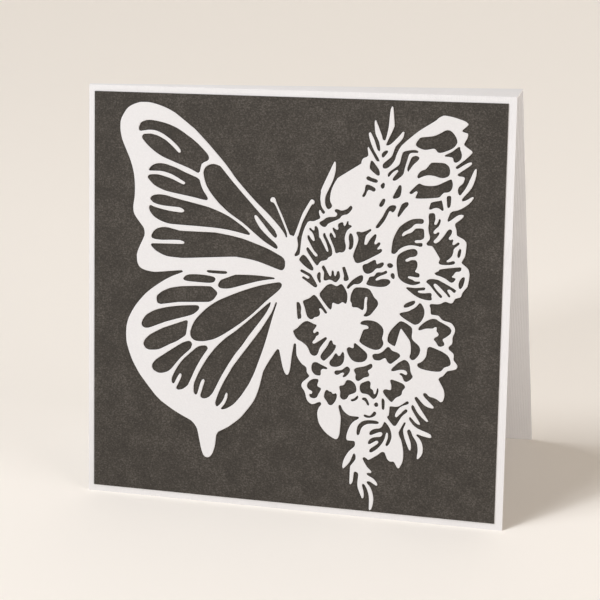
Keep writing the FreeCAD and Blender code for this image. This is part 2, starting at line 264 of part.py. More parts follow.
     (40.7, 64.7), (39.6, 63.0), (38.8, 61.1), (38.45, 59.3), (38.9, 57.9), (39.9, 57.1), (41.3, 56.8),
     (43.4, 56.9), (45.2, 57.3), (47.3, 57.95), (49.2, 58.9), (51.0, 60.0), (53.1, 61.4), (55.5, 63.1),
     (57.8, 64.8), (60.2, 66.8), (62.6, 69.0), (64.9, 71.3), (67.3, 73.5), (69.2, 75.1), (70.7, 76.6),
     (71.45, 77.7)],
    [(48.5, 76.8), (48.9, 77.8), (49.9, 78.8), (51.8, 79.6), (53.1, 80.1), (54.4, 80.6), (56.5, 80.85),
     (59.7, 80.95), (62.8, 80.95), (65.7, 80.8), (68.1, 80.65), (69.0, 80.35), (68.6, 80.05), (67.0, 79.85),
     (64.4, 79.3), (61.8, 78.65), (59.2, 77.9), (56.5, 77.05), (54.2, 76.3), (52.0, 75.8), (49.9, 75.75),
     (48.8, 76.1)],
]
# Windows of the leafy half, each a closed run of straight cuts.
LEAFY_WINDOWS = [
    [(83.9, 85.6), (83.2, 86.2), (81.9, 87.9), (80.7, 89.6), (80.05, 90.8), (80.1, 91.4), (80.5, 91.6),
     (81.0, 91.2), (81.9, 90.1), (82.9, 89.0), (83.4, 88.6), (83.9, 88.7), (84.0, 89.1), (83.6, 89.7),
     (82.6, 90.8), (81.5, 92.6), (80.7, 94.0), (80.3, 95.1), (80.4, 95.6), (80.9, 95.7), (81.3, 95.0),
     (81.9, 94.3), (82.5, 93.8), (82.9, 94.0), (82.8, 94.7), (82.4, 96.0), (81.7, 97.0), (81.0, 97.5),
     (80.9, 98.0), (81.4, 98.2), (82.0, 97.6), (82.6, 97.4), (82.8, 97.9), (82.8, 98.6), (83.2, 98.95),
     (83.7, 98.6), (84.2, 97.6), (84.3, 96.5), (84.5, 95.3), (85.15, 94.4), (85.9, 93.0), (86.7, 91.5),
     (87.2, 90.6), (87.6, 90.4), (87.8, 90.7), (87.4, 92.3), (86.8, 93.8), (86.1, 95.1), (85.8, 96.1),
     (86.1, 96.7), (86.5, 96.7), (86.9, 95.7), (87.65, 94.2), (88.6, 92.5), (89.1, 90.9), (89.15, 89.8),
     (88.8, 89.1), (87.9, 88.6), (87.3, 87.8), (86.3, 87.4), (85.4, 87.2), (84.8, 86.7), (84.3, 85.9)],
    [(77.6, 87.1), (77.9, 88.0), (78.6, 88.8), (79.2, 88.9), (79.9, 88.5), (80.9, 87.3), (81.9, 85.9),
     (82.6, 84.7), (82.5, 83.9), (81.8, 83.85), (80.2, 84.7), (78.7, 85.9)],
    [(84.4, 100.05), (84.8, 100.5), (85.7, 101.0), (86.7, 101.8), (87.9, 102.2), (89.4, 102.3), (90.25, 102.6),
     (90.6, 103.2), (90.4, 103.7), (89.8, 104.1), (89.7, 104.6), (90.2, 104.95), (90.9, 104.9), (91.8, 104.6),
     (92.8, 104.7), (94.0, 105.2), (94.9, 106.1), (95.4, 106.3), (95.8, 105.9), (95.7, 105.2), (94.9, 104.1),
     (94.0, 103.4), (92.8, 103.1), (92.0, 102.6), (91.2, 101.7), (89.9, 101.1), (89.0, 100.6), (87.8, 100.1),
     (86.9, 99.1), (86.3, 98.75), (85.5, 98.9), (84.8, 99.4)],
    [(90.2, 90.4), (90.8, 90.15), (91.6, 90.5), (92.6, 90.5), (93.4, 91.0), (93.8, 91.9), (93.8, 93.0),
     (93.5, 94.2), (93.4, 95.5), (93.7, 96.9), (94.3, 98.1), (95.2, 98.9), (95.8, 99.4), (95.5, 99.8),
     (94.8, 99.9), (94.6, 100.5), (94.6, 101.1), (94.2, 101.1), (93.9, 100.5), (93.6, 99.7), (93.2, 99.4),
     (92.9, 99.9), (92.8, 100.5), (92.4, 100.7), (91.6, 100.4), (91.0, 99.9), (91.0, 99.1), (91.15, 98.4),
     (90.9, 98.0), (90.2, 98.2), (89.4, 98.75), (89.1, 98.5), (89.25, 97.85), (89.8, 96.9), (90.2, 96.1),
     (90.2, 95.4), (89.8, 95.35), (89.25, 96.1), (88.8, 96.9), (88.35, 96.9), (88.1, 96.5), (88.2, 95.5),
     (89.0, 93.6), (89.8, 91.9)],
    [(94.8, 91.9), (95.1, 91.6), (95.7, 91.7), (96.3, 92.6), (96.5, 94.4), (96.3, 95.9), (95.8, 97.0),
     (95.3, 97.1), (94.9, 96.5), (94.8, 95.3), (95.0, 94.0), (95.0, 92.8)],
    [(98.0, 87.2), (97.2, 87.6), (96.65, 88.8), (96.5, 90.0), (96.9, 91.1), (97.4, 92.5), (97.9, 94.0),
     (98.1, 95.5), (97.8, 96.5), (97.4, 97.2), (97.6, 97.7), (98.4, 97.8), (99.4, 97.7), (100.3, 98.0),
     (101.5, 98.5), (102.1, 98.9), (102.5, 98.8), (102.5, 98.3), (101.8, 97.6), (101.1, 97.0), (100.6, 96.1),
     (100.4, 94.8), (100.25, 93.9), (100.6, 93.5), (101.1, 93.6), (101.6, 94.4), (102.2, 95.5), (103.2, 96.5),
     (103.8, 97.2), (104.2, 97.2), (104.4, 96.7), (104.1, 95.5), (103.7, 94.4), (103.8, 93.9), (104.3, 93.8),
     (104.9, 94.4), (105.4, 94.6), (105.8, 94.4), (105.6, 93.6), (104.8, 92.6), (105.0, 92.1), (105.9, 92.4),
     (106.4, 92.1), (106.2, 91.4), (105.1, 90.6), (103.4, 89.7), (101.5, 88.6), (99.5, 87.6)],
    [(99.8, 86.2), (100.3, 86.9), (101.3, 87.2), (102.0, 87.6), (103.0, 88.2), (103.9, 88.6), (104.4, 88.3),
     (104.5, 87.6), (104.8, 87.2), (105.5, 87.5), (106.4, 87.9), (107.1, 87.8), (107.2, 87.3), (106.6, 86.4),
     (105.7, 85.9), (104.7, 85.8), (104.1, 85.3), (103.5, 84.6), (102.7, 84.1), (101.8, 83.8), (101.0, 83.9),
     (100.4, 84.3), (100.0, 85.1)],
    [(108.3, 87.2), (108.7, 87.7), (109.5, 87.8), (110.2, 87.4), (110.3, 86.8), (109.8, 86.3), (109.1, 86.2),
     (108.5, 86.6)],
    [(109.6, 84.0), (110.0, 84.5), (110.5, 84.5), (110.9, 84.0), (111.0, 83.1), (110.7, 82.6), (110.1, 82.7),
     (109.7, 83.3)],
    [(101.25, 80.4), (101.4, 80.9), (101.9, 81.8), (102.2, 82.6), (103.1, 83.0), (103.9, 83.2), (104.5, 83.9),
     (104.9, 84.4), (105.8, 84.5), (106.7, 84.6), (107.6, 85.1), (108.2, 85.2), (108.4, 84.8), (108.0, 84.2),
     (106.9, 83.7), (105.8, 83.2), (104.9, 82.6), (104.4, 82.0), (104.6, 81.7), (105.4, 81.85), (106.5, 82.3),
     (107.9, 82.4), (108.9, 82.3), (109.5, 81.7), (109.4, 81.1), (108.6, 80.3), (107.5, 79.8), (105.8, 79.6),
     (103.5, 79.7), (101.8, 80.0)],
    [(94.5, 78.7), (94.7, 79.3), (95.4, 80.3), (96.7, 81.6), (98.3, 82.7), (99.4, 83.2), (100.0, 83.0),
     (100.1, 82.2), (99.9, 81.3), (99.2, 80.5), (98.3, 80.1), (97.1, 80.0), (96.3, 79.5), (95.6, 78.8),
     (95.0, 78.3), (94.6, 78.4)],
    [(92.8, 85.1), (93.0, 85.6), (93.5, 85.7), (93.9, 85.2), (94.3, 84.1), (94.8, 82.8), (95.1, 81.9),
     (94.8, 81.2), (94.2, 80.9), (93.5, 81.0), (93.3, 81.7), (93.4, 82.8), (93.1, 84.1)],
    [(85.6, 85.1), (85.7, 85.5), (86.2, 85.7), (86.7, 85.3), (87.3, 84.2), (87.9, 83.2), (88.3, 82.4),
     (88.7, 82.2), (89.0, 82.8), (89.1, 83.9), (89.4, 84.3), (89.8, 84.0), (90.0, 82.8), (90.35, 82.3),
     (90.7, 82.8), (91.0, 83.9), (91.35, 84.2), (91.7, 84.0), (92.0, 83.0), (92.0, 82.0), (91.5, 81.1),
     (90.7, 80.3), (90.0, 80.4), (89.1, 80.9), (88.1, 81.0), (87.3, 80.7), (86.6, 80.7), (86.3, 81.2),
     (86.4, 82.2), (86.4, 83.4), (85.9, 84.3)],
    [(84.75, 83.4), (85.15, 83.2), (85.25, 82.2), (85.2, 81.1), (85.4, 80.3), (85.2, 79.8), (84.85, 79.8),
     (84.4, 80.5), (84.0, 81.6), (84.0, 82.5), (84.3, 83.1)],
    [(78.1, 83.7), (78.5, 84.0), (79.3, 83.7), (80.2, 83.2), (81.4, 82.7), (82.3, 81.8), (83.1, 80.5),
     (83.9, 79.3), (84.1, 78.6), (83.7, 78.15), (82.9, 78.3), (81.8, 79.1), (80.2, 80.1), (78.9, 80.9),
     (78.7, 81.4), (79.1, 81.65), (79.85, 81.3), (80.7, 80.9), (81.2, 81.0), (81.3, 81.5), (80.8, 81.9),
     (79.5, 82.5), (78.3, 83.1)],
    [(89.0, 70.9), (88.4, 71.2), (87.3, 72.4), (86.2, 73.8), (85.3, 74.9), (85.05, 75.8), (85.2, 76.5),
     (86.1, 77.6), (87.15, 78.8), (88.1, 79.4), (89.1, 79.6), (89.9, 79.3), (90.8, 79.0), (91.6, 79.3),
     (92.2, 79.7), (92.8, 79.7), (93.4, 79.1), (94.2, 77.8), (94.65, 76.7), (94.8, 75.5), (94.65, 74.1),
     (94.3, 73.2), (93.8, 73.3), (93.1, 73.7), (92.4, 73.2), (91.8, 72.9), (90.8, 73.0), (89.85, 73.3),
     (89.5, 72.8), (89.4, 71.6)],
    [(79.3, 73.3), (80.2, 73.7), (81.4, 74.3), (82.3, 75.1), (83.0, 75.5), (83.8, 75.1), (84.65, 74.1),
     (85.6, 72.8), (86.6, 71.5), (87.5, 70.3), (87.75, 69.7), (87.4, 69.35), (86.9, 69.6), (86.2, 70.5),
     (85.4, 71.1), (84.9, 70.8), (85.2, 70.1), (85.3, 69.3), (85.0, 68.6), (84.3, 68.1), (83.4, 67.9),
     (82.8, 67.3), (82.1, 67.1), (81.4, 67.4), (80.6, 68.4), (80.2, 69.7), (79.8, 71.1), (79.3, 72.4)],
    [(76.9, 72.1), (77.2, 72.65), (77.7, 72.7), (78.3, 71.9), (78.6, 70.7), (78.5, 69.2), (78.7, 67.8),
     (78.5, 67.2), (77.9, 67.0), (77.35, 67.3), (77.15, 68.8), (77.0, 70.5)],
    [(75.9, 62.5), (76.2, 63.0), (77.3, 63.8), (78.3, 64.9), (79.3, 65.8), (80.2, 66.3), (81.0, 66.4),
     (82.0, 66.1), (83.1, 65.6), (84.0, 65.4), (84.2, 65.0), (83.7, 64.2), (83.1, 63.3), (83.1, 62.6),
     (83.5, 62.4), (84.1, 62.9), (84.7, 63.1), (85.0, 62.8), (84.9, 62.0), (84.1, 61.4), (83.7, 60.5),
     (82.9, 59.6), (82.8, 59.1), (83.3, 58.8), (84.3, 59.3), (85.6, 60.2), (86.8, 61.0), (87.4, 61.3),
     (87.9, 61.1), (87.7, 60.5), (86.9, 59.5), (86.0, 58.3), (85.3, 57.1), (84.9, 55.8), (84.4, 55.0),
     (83.6, 54.65), (82.8, 54.8), (82.1, 55.4), (81.6, 56.5), (80.9, 57.7), (80.0, 58.5), (78.9, 59.2),
     (77.5, 59.9), (76.5, 61.1)],
    [(95.95, 74.0), (95.8, 74.7), (95.95, 76.1), (96.3, 77.2), (96.9, 78.3), (97.7, 78.9), (99.2, 79.05),
     (101.0, 79.0), (102.1, 78.7), (102.9, 78.0), (103.5, 77.0), (104.2, 75.9), (105.1, 75.1), (105.5, 74.1),
     (105.2, 73.0), (104.2, 71.6), (103.3, 70.4), (102.3, 69.6), (101.4, 69.3), (100.7, 69.4), (100.6, 69.8),
     (101.1, 70.3), (101.5, 71.1), (101.7, 72.2), (101.6, 73.8), (101.75, 75.3), (101.65, 75.9), (101.2, 76.0),
     (100.8, 75.1), (100.7, 73.6), (100.6, 72.2), (100.3, 71.5), (99.8, 71.45), (99.0, 71.9), (98.1, 72.2),
     (96.8, 72.2), (96.4, 72.6), (96.35, 73.4)],
    [(99.5, 66.8), (99.8, 67.4), (100.8, 67.9), (102.3, 68.1), (103.8, 68.0), (105.2, 67.6), (106.3, 66.9),
     (107.2, 66.0), (107.6, 64.9), (107.5, 63.6), (107.2, 62.3), (107.6, 61.1), (107.6, 60.1), (106.9, 59.0),
     (106.0, 58.4), (104.8, 58.2), (103.3, 58.5), (101.5, 59.2), (100.2, 59.9), (99.35, 60.7), (99.5, 61.6),
     (100.0, 63.0), (100.5, 64.4), (101.3, 65.0), (102.2, 65.2), (102.35, 65.8), (101.7, 66.3), (100.8, 66.4),
     (99.9, 66.5)],
    [(109.2, 61.3), (109.05, 62.2), (109.3, 63.6), (110.0, 65.0), (111.0, 66.3), (112.1, 67.5), (113.0, 68.3),
     (113.8, 68.5), (115.0, 68.1), (116.4, 67.3), (117.3, 66.5), (117.5, 65.3), (117.4, 63.9), (117.6, 62.7),
     (118.6, 61.7), (119.6, 60.9), (120.2, 60.1), (120.4, 59.2), (120.2, 58.1), (119.6, 57.0), (118.9, 56.2),
     (118.2, 55.7), (117.5, 55.7), (117.0, 56.2), (116.8, 56.8), (117.1, 57.8), (117.2, 59.2), (117.1, 60.6),
     (116.8, 61.9), (116.1, 63.0), (115.2, 64.1), (114.3, 65.3), (113.7, 65.9), (113.3, 65.4), (112.9, 64.1),
     (112.4, 62.2), (111.9, 60.5), (111.4, 60.0), (110.6, 60.3), (109.7, 60.8)],
    [(114.3, 73.6), (114.8, 74.4), (116.0, 75.1), (117.3, 75.6), (118.1, 75.7), (118.25, 75.2), (117.7, 74.4),
     (116.7, 73.8), (115.6, 73.3), (114.5, 73.2)],
    [(113.0, 70.9), (113.2, 71.3), (114.3, 71.6), (115.8, 72.0), (117.3, 72.8), (118.6, 73.7), (119.2, 74.5),
     (119.7, 75.0), (120.2, 74.9), (120.8, 74.2), (121.3, 73.2), (121.5, 72.1), (121.4, 71.0), (121.0, 69.9),
     (120.4, 68.9), (119.6, 68.1), (118.8, 67.75), (118.0, 67.7), (117.1, 68.1), (115.8, 68.8), (114.4, 69.6),
     (113.3, 70.4)],
    [(109.6, 91.7), (109.7, 92.9), (109.9, 94.8), (110.3, 96.3), (111.1, 98.2), (112.2, 100.0), (113.7, 101.3),
     (115.3, 102.3), (116.8, 102.9), (118.4, 103.1), (119.7, 103.1), (120.3, 102.8), (120.4, 102.1), (119.8, 101.5),
     (118.5, 101.4), (117.6, 101.3), (116.9, 100.6), (116.1, 99.9), (115.1, 99.3), (114.0, 98.6), (113.3, 97.9),
     (113.1, 97.3), (113.4, 97.0), (114.0, 97.3), (114.9, 97.9), (116.1, 98.3), (117.0, 99.0), (117.6, 99.7),
     (118.5, 99.9), (119.9, 99.9), (120.5, 99.5), (120.6, 98.2), (120.7, 97.3), (120.4, 96.6), (119.5, 96.1),
     (118.2, 96.0), (117.5, 95.7), (117.5, 95.3), (118.2, 95.0), (119.1, 95.0), (119.9, 95.1), (120.2, 94.6),
     (120.0, 94.0), (119.3, 93.85), (118.0, 94.1), (116.2, 94.2), (114.7, 93.9), (113.3, 93.3), (112.2, 92.5),
     (111.5, 91.6), (110.7, 91.0), (109.9, 91.1)],
    [(111.5, 88.0), (111.6, 89.2), (111.8, 90.3), (112.6, 91.2), (114.0, 92.1), (115.5, 92.7), (117.0, 93.0),
     (117.8, 92.9), (118.4, 92.4), (118.6, 91.6), (118.2, 90.8), (117.4, 90.4), (116.1, 90.15), (115.2, 89.7),
     (114.5, 89.2), (114.6, 88.75), (115.4, 88.7), (116.4, 89.2), (117.6, 89.3), (118.3, 89.0), (118.65, 88.1),
     (118.6, 87.1), (118.2, 86.1), (117.9, 85.6), (118.3, 85.2), (119.2, 84.9), (119.5, 84.3), (119.3, 83.8),
     (118.7, 83.55), (117.7, 83.6), (116.4, 83.8), (115.6, 83.7), (115.5, 83.3), (116.1, 83.0), (117.1, 82.7),
     (118.0, 82.2), (119.0, 82.25), (119.7, 82.2), (119.7, 81.7), (118.6, 81.2), (117.1, 80.9), (115.4, 81.2),
     (113.7, 81.9), (112.5, 83.0), (112.0, 84.3), (111.7, 86.1)],
    [(105.5, 123.5), (105.6, 124.1), (106.2, 124.8), (107.0, 125.2), (107.6, 125.1), (107.6, 124.6), (106.9, 123.8),
     (106.4, 123.1), (106.0, 122.8), (105.6, 123.0)],
    [(101.7, 121.0), (102.0, 121.6), (102.6, 121.4), (103.2, 120.6), (104.1, 119.6), (104.8, 118.5), (105.0, 117.4),
     (104.8, 116.9), (104.0, 116.9), (103.0, 117.7), (101.9, 118.6), (101.5, 119.6)],
    [(100.4, 115.8), (100.7, 116.3), (101.3, 116.4), (102.3, 115.95), (103.4, 115.7), (104.2, 115.3), (104.4, 114.8),
     (103.9, 114.4), (102.9, 114.5), (101.7, 114.9), (100.8, 115.2)],
    [(105.9, 114.3), (106.4, 114.5), (106.8, 114.1), (106.7, 113.1), (106.2, 112.5), (105.7, 112.7), (105.35, 113.5)],
    [(99.1, 109.8), (99.4, 110.4), (99.9, 111.5), (100.1, 112.8), (100.4, 113.5), (101.3, 113.6), (102.2, 113.2),
     (103.2, 112.8), (103.7, 112.2), (103.5, 111.6), (102.9, 111.4), (102.0, 111.8), (101.3, 111.9), (100.8, 111.3),
     (100.3, 110.1), (99.8, 109.5), (99.35, 109.4)],
    [(109.6, 109.8), (110.0, 110.5), (110.7, 111.9), (111.3, 113.2), (111.8, 113.9), (112.4, 113.8), (112.6, 113.0),
     (112.5, 111.7), (112.2, 110.4), (111.6, 109.8), (110.5, 109.4), (109.8, 109.4)],
    [(105.1, 106.7), (105.1, 107.3), (105.7, 108.4), (106.2, 109.1), (106.8, 109.2), (107.1, 108.7), (106.8, 107.6),
     (106.2, 106.7), (105.6, 106.4)],
    [(104.05, 99.8), (104.4, 100.4), (105.3, 101.7), (106.3, 103.2), (107.2, 105.0), (107.9, 106.1), (108.7, 106.9),
     (109.7, 107.2), (110.6, 107.1), (110.9, 106.6), (110.6, 105.7), (110.0, 104.9), (109.5, 104.8), (109.1, 105.2),
     (108.6, 105.1), (108.2, 104.2), (107.4, 102.6), (106.3, 100.9), (105.1, 99.5), (104.5, 99.3)],
    [(111.4, 103.9), (111.6, 104.7), (112.1, 105.9), (112.6, 107.3), (113.3, 108.0), (114.1, 108.4), (114.8, 108.4),
     (115.1, 107.8), (114.7, 107.0), (113.8, 106.0), (112.9, 104.8), (112.1, 103.6), (111.6, 103.4)],
    [(107.85, 116.6), (107.75, 117.2), (108.3, 118.2), (109.4, 119.1), (110.7, 120.0), (111.7, 121.1), (112.1, 122.6),
     (112.4, 124.1), (112.9, 124.9), (113.8, 125.3), (115.0, 125.5), (116.2, 125.7), (117.3, 125.6), (117.9, 125.3),
     (117.8, 124.85), (116.7, 124.8), (115.6, 124.7), (114.8, 124.1), (114.4, 122.8), (113.9, 121.2), (113.5, 119.7),
     (113.2, 118.2), (112.7, 117.2), (111.7, 116.3), (110.6, 115.5), (109.8, 115.3), (109.4, 115.7), (109.9, 116.7),
     (110.7, 117.8), (111.3, 118.5), (111.1, 118.9), (110.5, 118.8), (109.4, 118.0), (108.5, 116.9), (108.15, 116.5)],
    [(114.35, 119.1), (114.5, 120.2), (115.0, 121.6), (115.6, 123.0), (116.3, 123.6), (117.3, 123.8), (118.1, 123.5),
     (118.3, 122.95), (117.7, 122.1), (116.7, 121.2), (115.8, 120.1), (115.0, 118.9), (114.6, 118.5)],
    [(117.0, 127.5), (117.2, 128.2), (118.0, 129.3), (118.8, 129.9), (120.0, 130.1), (121.9, 130.3), (123.5, 130.7),
     (125.0, 131.4), (126.4, 132.2), (127.5, 132.6), (128.7, 132.3), (129.7, 131.4), (130.5, 130.2), (130.9, 128.9),
     (130.6, 128.0), (129.8, 127.0), (128.3, 126.1), (126.5, 125.4), (125.2, 125.1), (124.4, 125.3), (123.8, 126.0),
     (123.1, 126.4), (121.9, 126.2), (120.8, 125.95), (119.6, 125.95), (118.3, 126.4), (117.4, 126.9)],
    [(126.9, 124.0), (127.1, 124.5), (128.1, 125.0), (129.2, 125.6), (130.4, 126.5), (131.3, 127.2), (131.8, 127.2),
     (131.95, 126.4), (132.4, 125.3), (132.5, 124.1), (132.1, 123.1), (131.3, 122.4), (130.5, 122.1), (129.9, 122.4),
     (129.7, 123.2), (129.2, 123.8), (128.1, 123.85)],
    [(117.8, 116.8), (117.9, 117.4), (118.5, 118.4), (119.4, 119.1), (120.6, 119.6), (121.35, 120.5), (122.0, 121.3),
     (122.9, 121.8), (124.6, 121.8), (126.4, 121.8), (127.5, 121.4), (128.4, 120.6), (128.75, 119.3), (128.6, 118.1),
     (127.9, 117.3), (126.5, 116.9), (125.2, 117.0), (123.8, 117.4), (122.3, 117.6), (120.8, 117.5), (119.4, 117.0),
     (118.5, 116.55), (118.0, 116.5)],
    [(115.3, 111.5), (115.5, 112.0), (116.4, 112.9), (117.0, 113.5), (117.8, 114.3), (118.7, 114.7), (119.8, 114.3),
     (121.5, 114.1), (123.5, 114.2), (125.2, 114.7), (126.7, 115.4), (128.0, 116.1), (128.9, 116.5), (129.5, 116.1),
     (129.8, 115.1), (129.6, 113.6), (128.9, 112.6), (127.9, 112.2), (127.0, 112.1), (126.4, 111.6), (125.8, 110.9),
     (124.9, 110.4), (123.2, 110.15), (121.2, 109.95), (119.3, 109.85), (117.8, 109.8), (117.4, 110.2), (117.6, 110.9),
     (118.0, 111.8), (117.8, 112.2), (117.2, 112.0), (116.4, 111.4), (115.7, 111.15)],
    [(127.9, 110.4), (128.0, 110.9), (128.5, 111.1), (129.1, 111.1), (129.4, 110.6), (129.4, 109.5), (129.3, 108.2),
     (129.0, 107.4), (128.6, 107.15), (128.2, 107.5), (128.1, 108.6)],
    [(122.05, 106.6), (122.2, 107.3), (122.5, 108.2), (123.1, 108.8), (124.3, 109.1), (125.6, 109.35), (126.3, 109.35),
     (126.5, 108.4), (126.8, 107.3), (127.0, 106.4), (126.7, 106.1), (126.2, 106.3), (125.5, 106.8), (124.5, 107.0),
     (123.5, 106.75), (122.8, 106.4), (122.3, 106.3)],
    [(122.0, 104.0), (122.2, 104.9), (122.9, 105.2), (123.8, 105.15), (124.15, 104.6), (124.3, 103.2), (124.0, 102.1),
     (124.05, 101.5), (124.6, 101.4), (125.1, 102.1), (125.4, 103.0), (125.75, 103.4), (126.1, 103.1), (126.0, 102.1),
     (125.5, 101.0), (124.5, 100.0), (123.75, 99.0), (123.9, 98.5), (124.5, 98.4), (125.3, 99.0), (125.8, 98.9),
     (125.6, 98.1), (124.9, 97.1), (124.0, 96.1), (124.0, 95.5), (124.7, 95.3), (125.6, 95.8), (126.6, 96.9),
     (127.6, 98.2), (128.4, 99.5), (129.1, 100.1), (129.8, 100.0), (130.05, 99.4), (129.7, 98.3), (129.0, 97.3),
     (129.05, 96.8), (129.6, 96.6), (130.2, 96.9), (130.55, 96.6), (130.35, 95.9), (130.3, 95.2), (130.75, 95.0),
     (131.4, 95.5), (132.2, 96.0), (132.6, 95.8), (132.5, 95.2), (131.8, 94.6), (130.9, 93.8), (130.65, 92.6),
     (130.2, 91.3), (129.3, 90.3), (128.5, 89.7), (128.5, 89.3), (129.5, 89.3), (130.5, 89.7), (131.1, 89.6),
     (131.35, 89.2), (131.0, 88.7), (129.9, 88.4), (128.4, 88.25), (127.0, 88.25), (126.1, 88.5), (125.85, 89.1),
     (126.2, 90.0), (125.95, 90.7), (125.3, 91.7), (124.5, 92.9), (123.8, 93.9), (123.0, 94.3), (122.0, 94.4),
     (121.5, 94.9), (121.8, 95.5), (122.5, 96.4), (122.6, 97.5), (122.2, 98.8), (122.0, 100.5), (122.15, 102.3)],
    [(132.1, 92.2), (132.4, 93.3), (132.9, 93.9), (133.3, 93.6), (133.2, 92.3), (132.9, 91.2), (132.5, 90.85),
     (132.1, 91.2)],
    [(124.55, 85.2), (124.9, 85.6), (125.9, 86.1), (126.8, 86.8), (128.3, 87.0), (130.1, 87.3), (131.6, 87.6),
     (132.9, 87.75), (133.5, 87.4), (133.4, 86.7), (132.8, 86.3), (131.7, 86.1), (131.2, 85.5), (130.8, 84.9),
     (130.4, 84.5), (130.7, 84.2), (131.4, 84.1), (131.7, 83.8), (131.4, 83.2), (130.9, 82.7), (130.3, 82.5),
     (129.7, 82.7), (128.9, 83.3), (127.8, 83.9), (126.4, 84.4), (125.2, 84.7)],
    [(121.85, 82.2), (122.1, 82.8), (122.8, 83.2), (123.9, 83.35), (125.2, 83.25), (126.6, 82.8), (128.0, 82.1),
     (129.4, 81.4), (130.6, 80.8), (131.6, 80.3), (131.9, 79.7), (131.6, 79.2), (131.1, 79.25), (130.5, 79.8),
     (129.9, 80.15), (129.3, 80.1), (129.05, 79.6), (129.6, 78.8), (130.1, 78.0), (129.9, 77.55), (129.4, 77.7),
     (128.7, 78.6), (127.6, 79.7), (126.4, 80.8), (125.2, 81.75), (124.6, 81.8), (124.35, 81.3), (124.9, 80.3),
     (126.0, 79.1), (127.0, 78.2), (127.35, 77.6), (127.0, 77.15), (126.5, 77.4), (125.4, 78.5), (124.2, 79.9),
     (123.1, 81.1)],
    [(132.75, 81.8), (132.9, 82.8), (133.4, 83.8), (134.1, 84.5), (134.6, 84.6), (134.8, 84.0), (134.6, 82.8),
     (134.2, 81.5), (133.6, 80.7), (133.0, 80.7)],
    [(114.95, 79.8), (115.3, 80.1), (116.5, 80.05), (118.2, 80.0), (119.8, 80.2), (121.1, 80.35), (121.55, 79.9),
     (121.3, 79.45), (120.2, 79.3), (119.2, 79.15), (119.05, 78.8), (119.6, 78.45), (121.2, 78.4), (122.8, 78.6),
     (123.5, 78.6), (123.8, 78.1), (123.7, 77.3), (123.9, 76.6), (123.5, 76.2), (122.6, 76.15), (121.2, 76.3),
     (119.7, 76.7), (118.2, 77.4), (116.8, 78.3), (115.6, 79.3)],
    [(119.55, 66.2), (119.8, 66.9), (120.5, 67.7), (121.5, 68.6), (122.7, 69.4), (123.8, 69.9), (124.8, 70.05),
     (125.7, 69.9), (126.7, 69.3), (128.0, 68.7), (129.4, 68.0), (130.4, 67.3), (130.8, 66.5), (130.6, 65.6),
     (130.0, 64.9), (129.0, 64.1), (128.2, 63.6), (127.95, 63.1), (128.3, 62.4), (128.6, 61.8), (128.2, 61.2),
     (127.4, 60.85), (126.6, 61.0), (126.1, 61.6), (125.7, 62.3), (125.1, 62.8), (125.0, 63.4), (125.5, 63.9),
     (126.2, 64.3), (126.5, 64.9), (126.2, 65.5), (125.8, 66.0), (125.85, 66.7), (125.7, 67.3), (125.2, 67.3),
     (124.4, 66.8), (123.4, 66.7), (122.2, 66.6), (121.0, 66.2), (120.2, 65.9), (119.7, 65.9)],
    [(122.7, 59.0), (122.9, 60.0), (123.5, 60.5), (124.5, 60.4), (126.0, 59.9), (127.6, 59.3), (129.0, 58.6),
     (130.0, 57.8), (130.6, 56.8), (130.9, 55.7), (130.6, 54.7), (129.7, 54.25), (128.8, 53.9), (128.3, 53.3),
     (127.6, 52.6), (126.5, 52.35), (125.0, 52.35), (123.2, 52.5), (121.4, 52.8), (120.2, 53.2), (119.55, 53.9),
     (119.7, 54.6), (120.7, 55.1), (121.6, 55.9), (122.3, 56.9), (122.6, 57.9)],
    [(85.75, 54.3), (85.9, 55.1), (86.6, 56.3), (87.5, 57.5), (88.3, 58.8), (88.8, 59.9), (89.3, 60.4),
     (89.8, 60.2), (90.0, 59.5), (90.4, 59.0), (91.0, 58.9), (91.1, 58.2), (90.6, 57.1), (89.8, 55.9),
     (88.8, 54.8), (87.8, 53.8), (87.1, 53.25), (86.4, 53.4)],
    [(88.95, 52.4), (89.2, 53.4), (89.9, 54.3), (90.5, 55.2), (90.9, 55.9), (91.3, 56.1), (91.7, 55.7),
     (92.1, 55.2), (92.6, 55.3), (93.0, 56.0), (93.5, 56.7), (93.9, 56.5), (94.15, 55.4), (94.1, 54.0),
     (93.7, 52.9), (92.9, 52.0), (91.8, 51.5), (90.6, 51.35), (89.5, 51.6)],
    [(82.6, 50.7), (82.8, 51.7), (83.3, 52.3), (84.1, 52.5), (85.0, 52.3), (86.0, 51.8), (87.1, 51.4),
     (88.0, 51.0), (88.2, 50.5), (87.7, 50.3), (87.0, 50.4), (86.3, 50.2), (85.95, 49.6), (86.0, 48.8),
     (85.8, 48.1), (85.0, 47.95), (84.1, 48.1), (83.3, 48.7), (82.75, 49.6)],
    [(81.15, 44.3), (81.4, 45.1), (82.2, 46.0), (83.3, 46.6), (84.4, 46.75), (85.1, 46.6), (85.2, 46.0),
     (84.9, 45.1), (84.9, 44.4), (85.4, 43.95), (86.0, 43.7), (86.1, 43.1), (85.7, 42.3), (85.2, 41.4),
     (84.8, 40.5), (84.1, 40.05), (83.2, 39.95), (82.4, 40.3), (82.0, 40.9), (82.2, 41.4), (82.8, 41.4),
     (83.1, 41.9), (82.8, 42.5), (82.0, 42.8), (81.4, 43.4)],
    [(87.3, 41.2), (87.5, 42.3), (87.9, 43.0), (88.4, 43.2), (88.9, 42.95), (89.3, 42.7), (89.8, 42.7),
     (90.2, 42.15), (90.7, 42.0), (91.4, 42.3), (91.75, 42.0), (91.8, 41.0), (91.4, 39.8), (90.8, 38.8),
     (90.1, 38.15), (89.4, 38.05), (88.8, 38.4), (88.4, 39.1), (87.8, 39.8), (87.4, 40.4)],
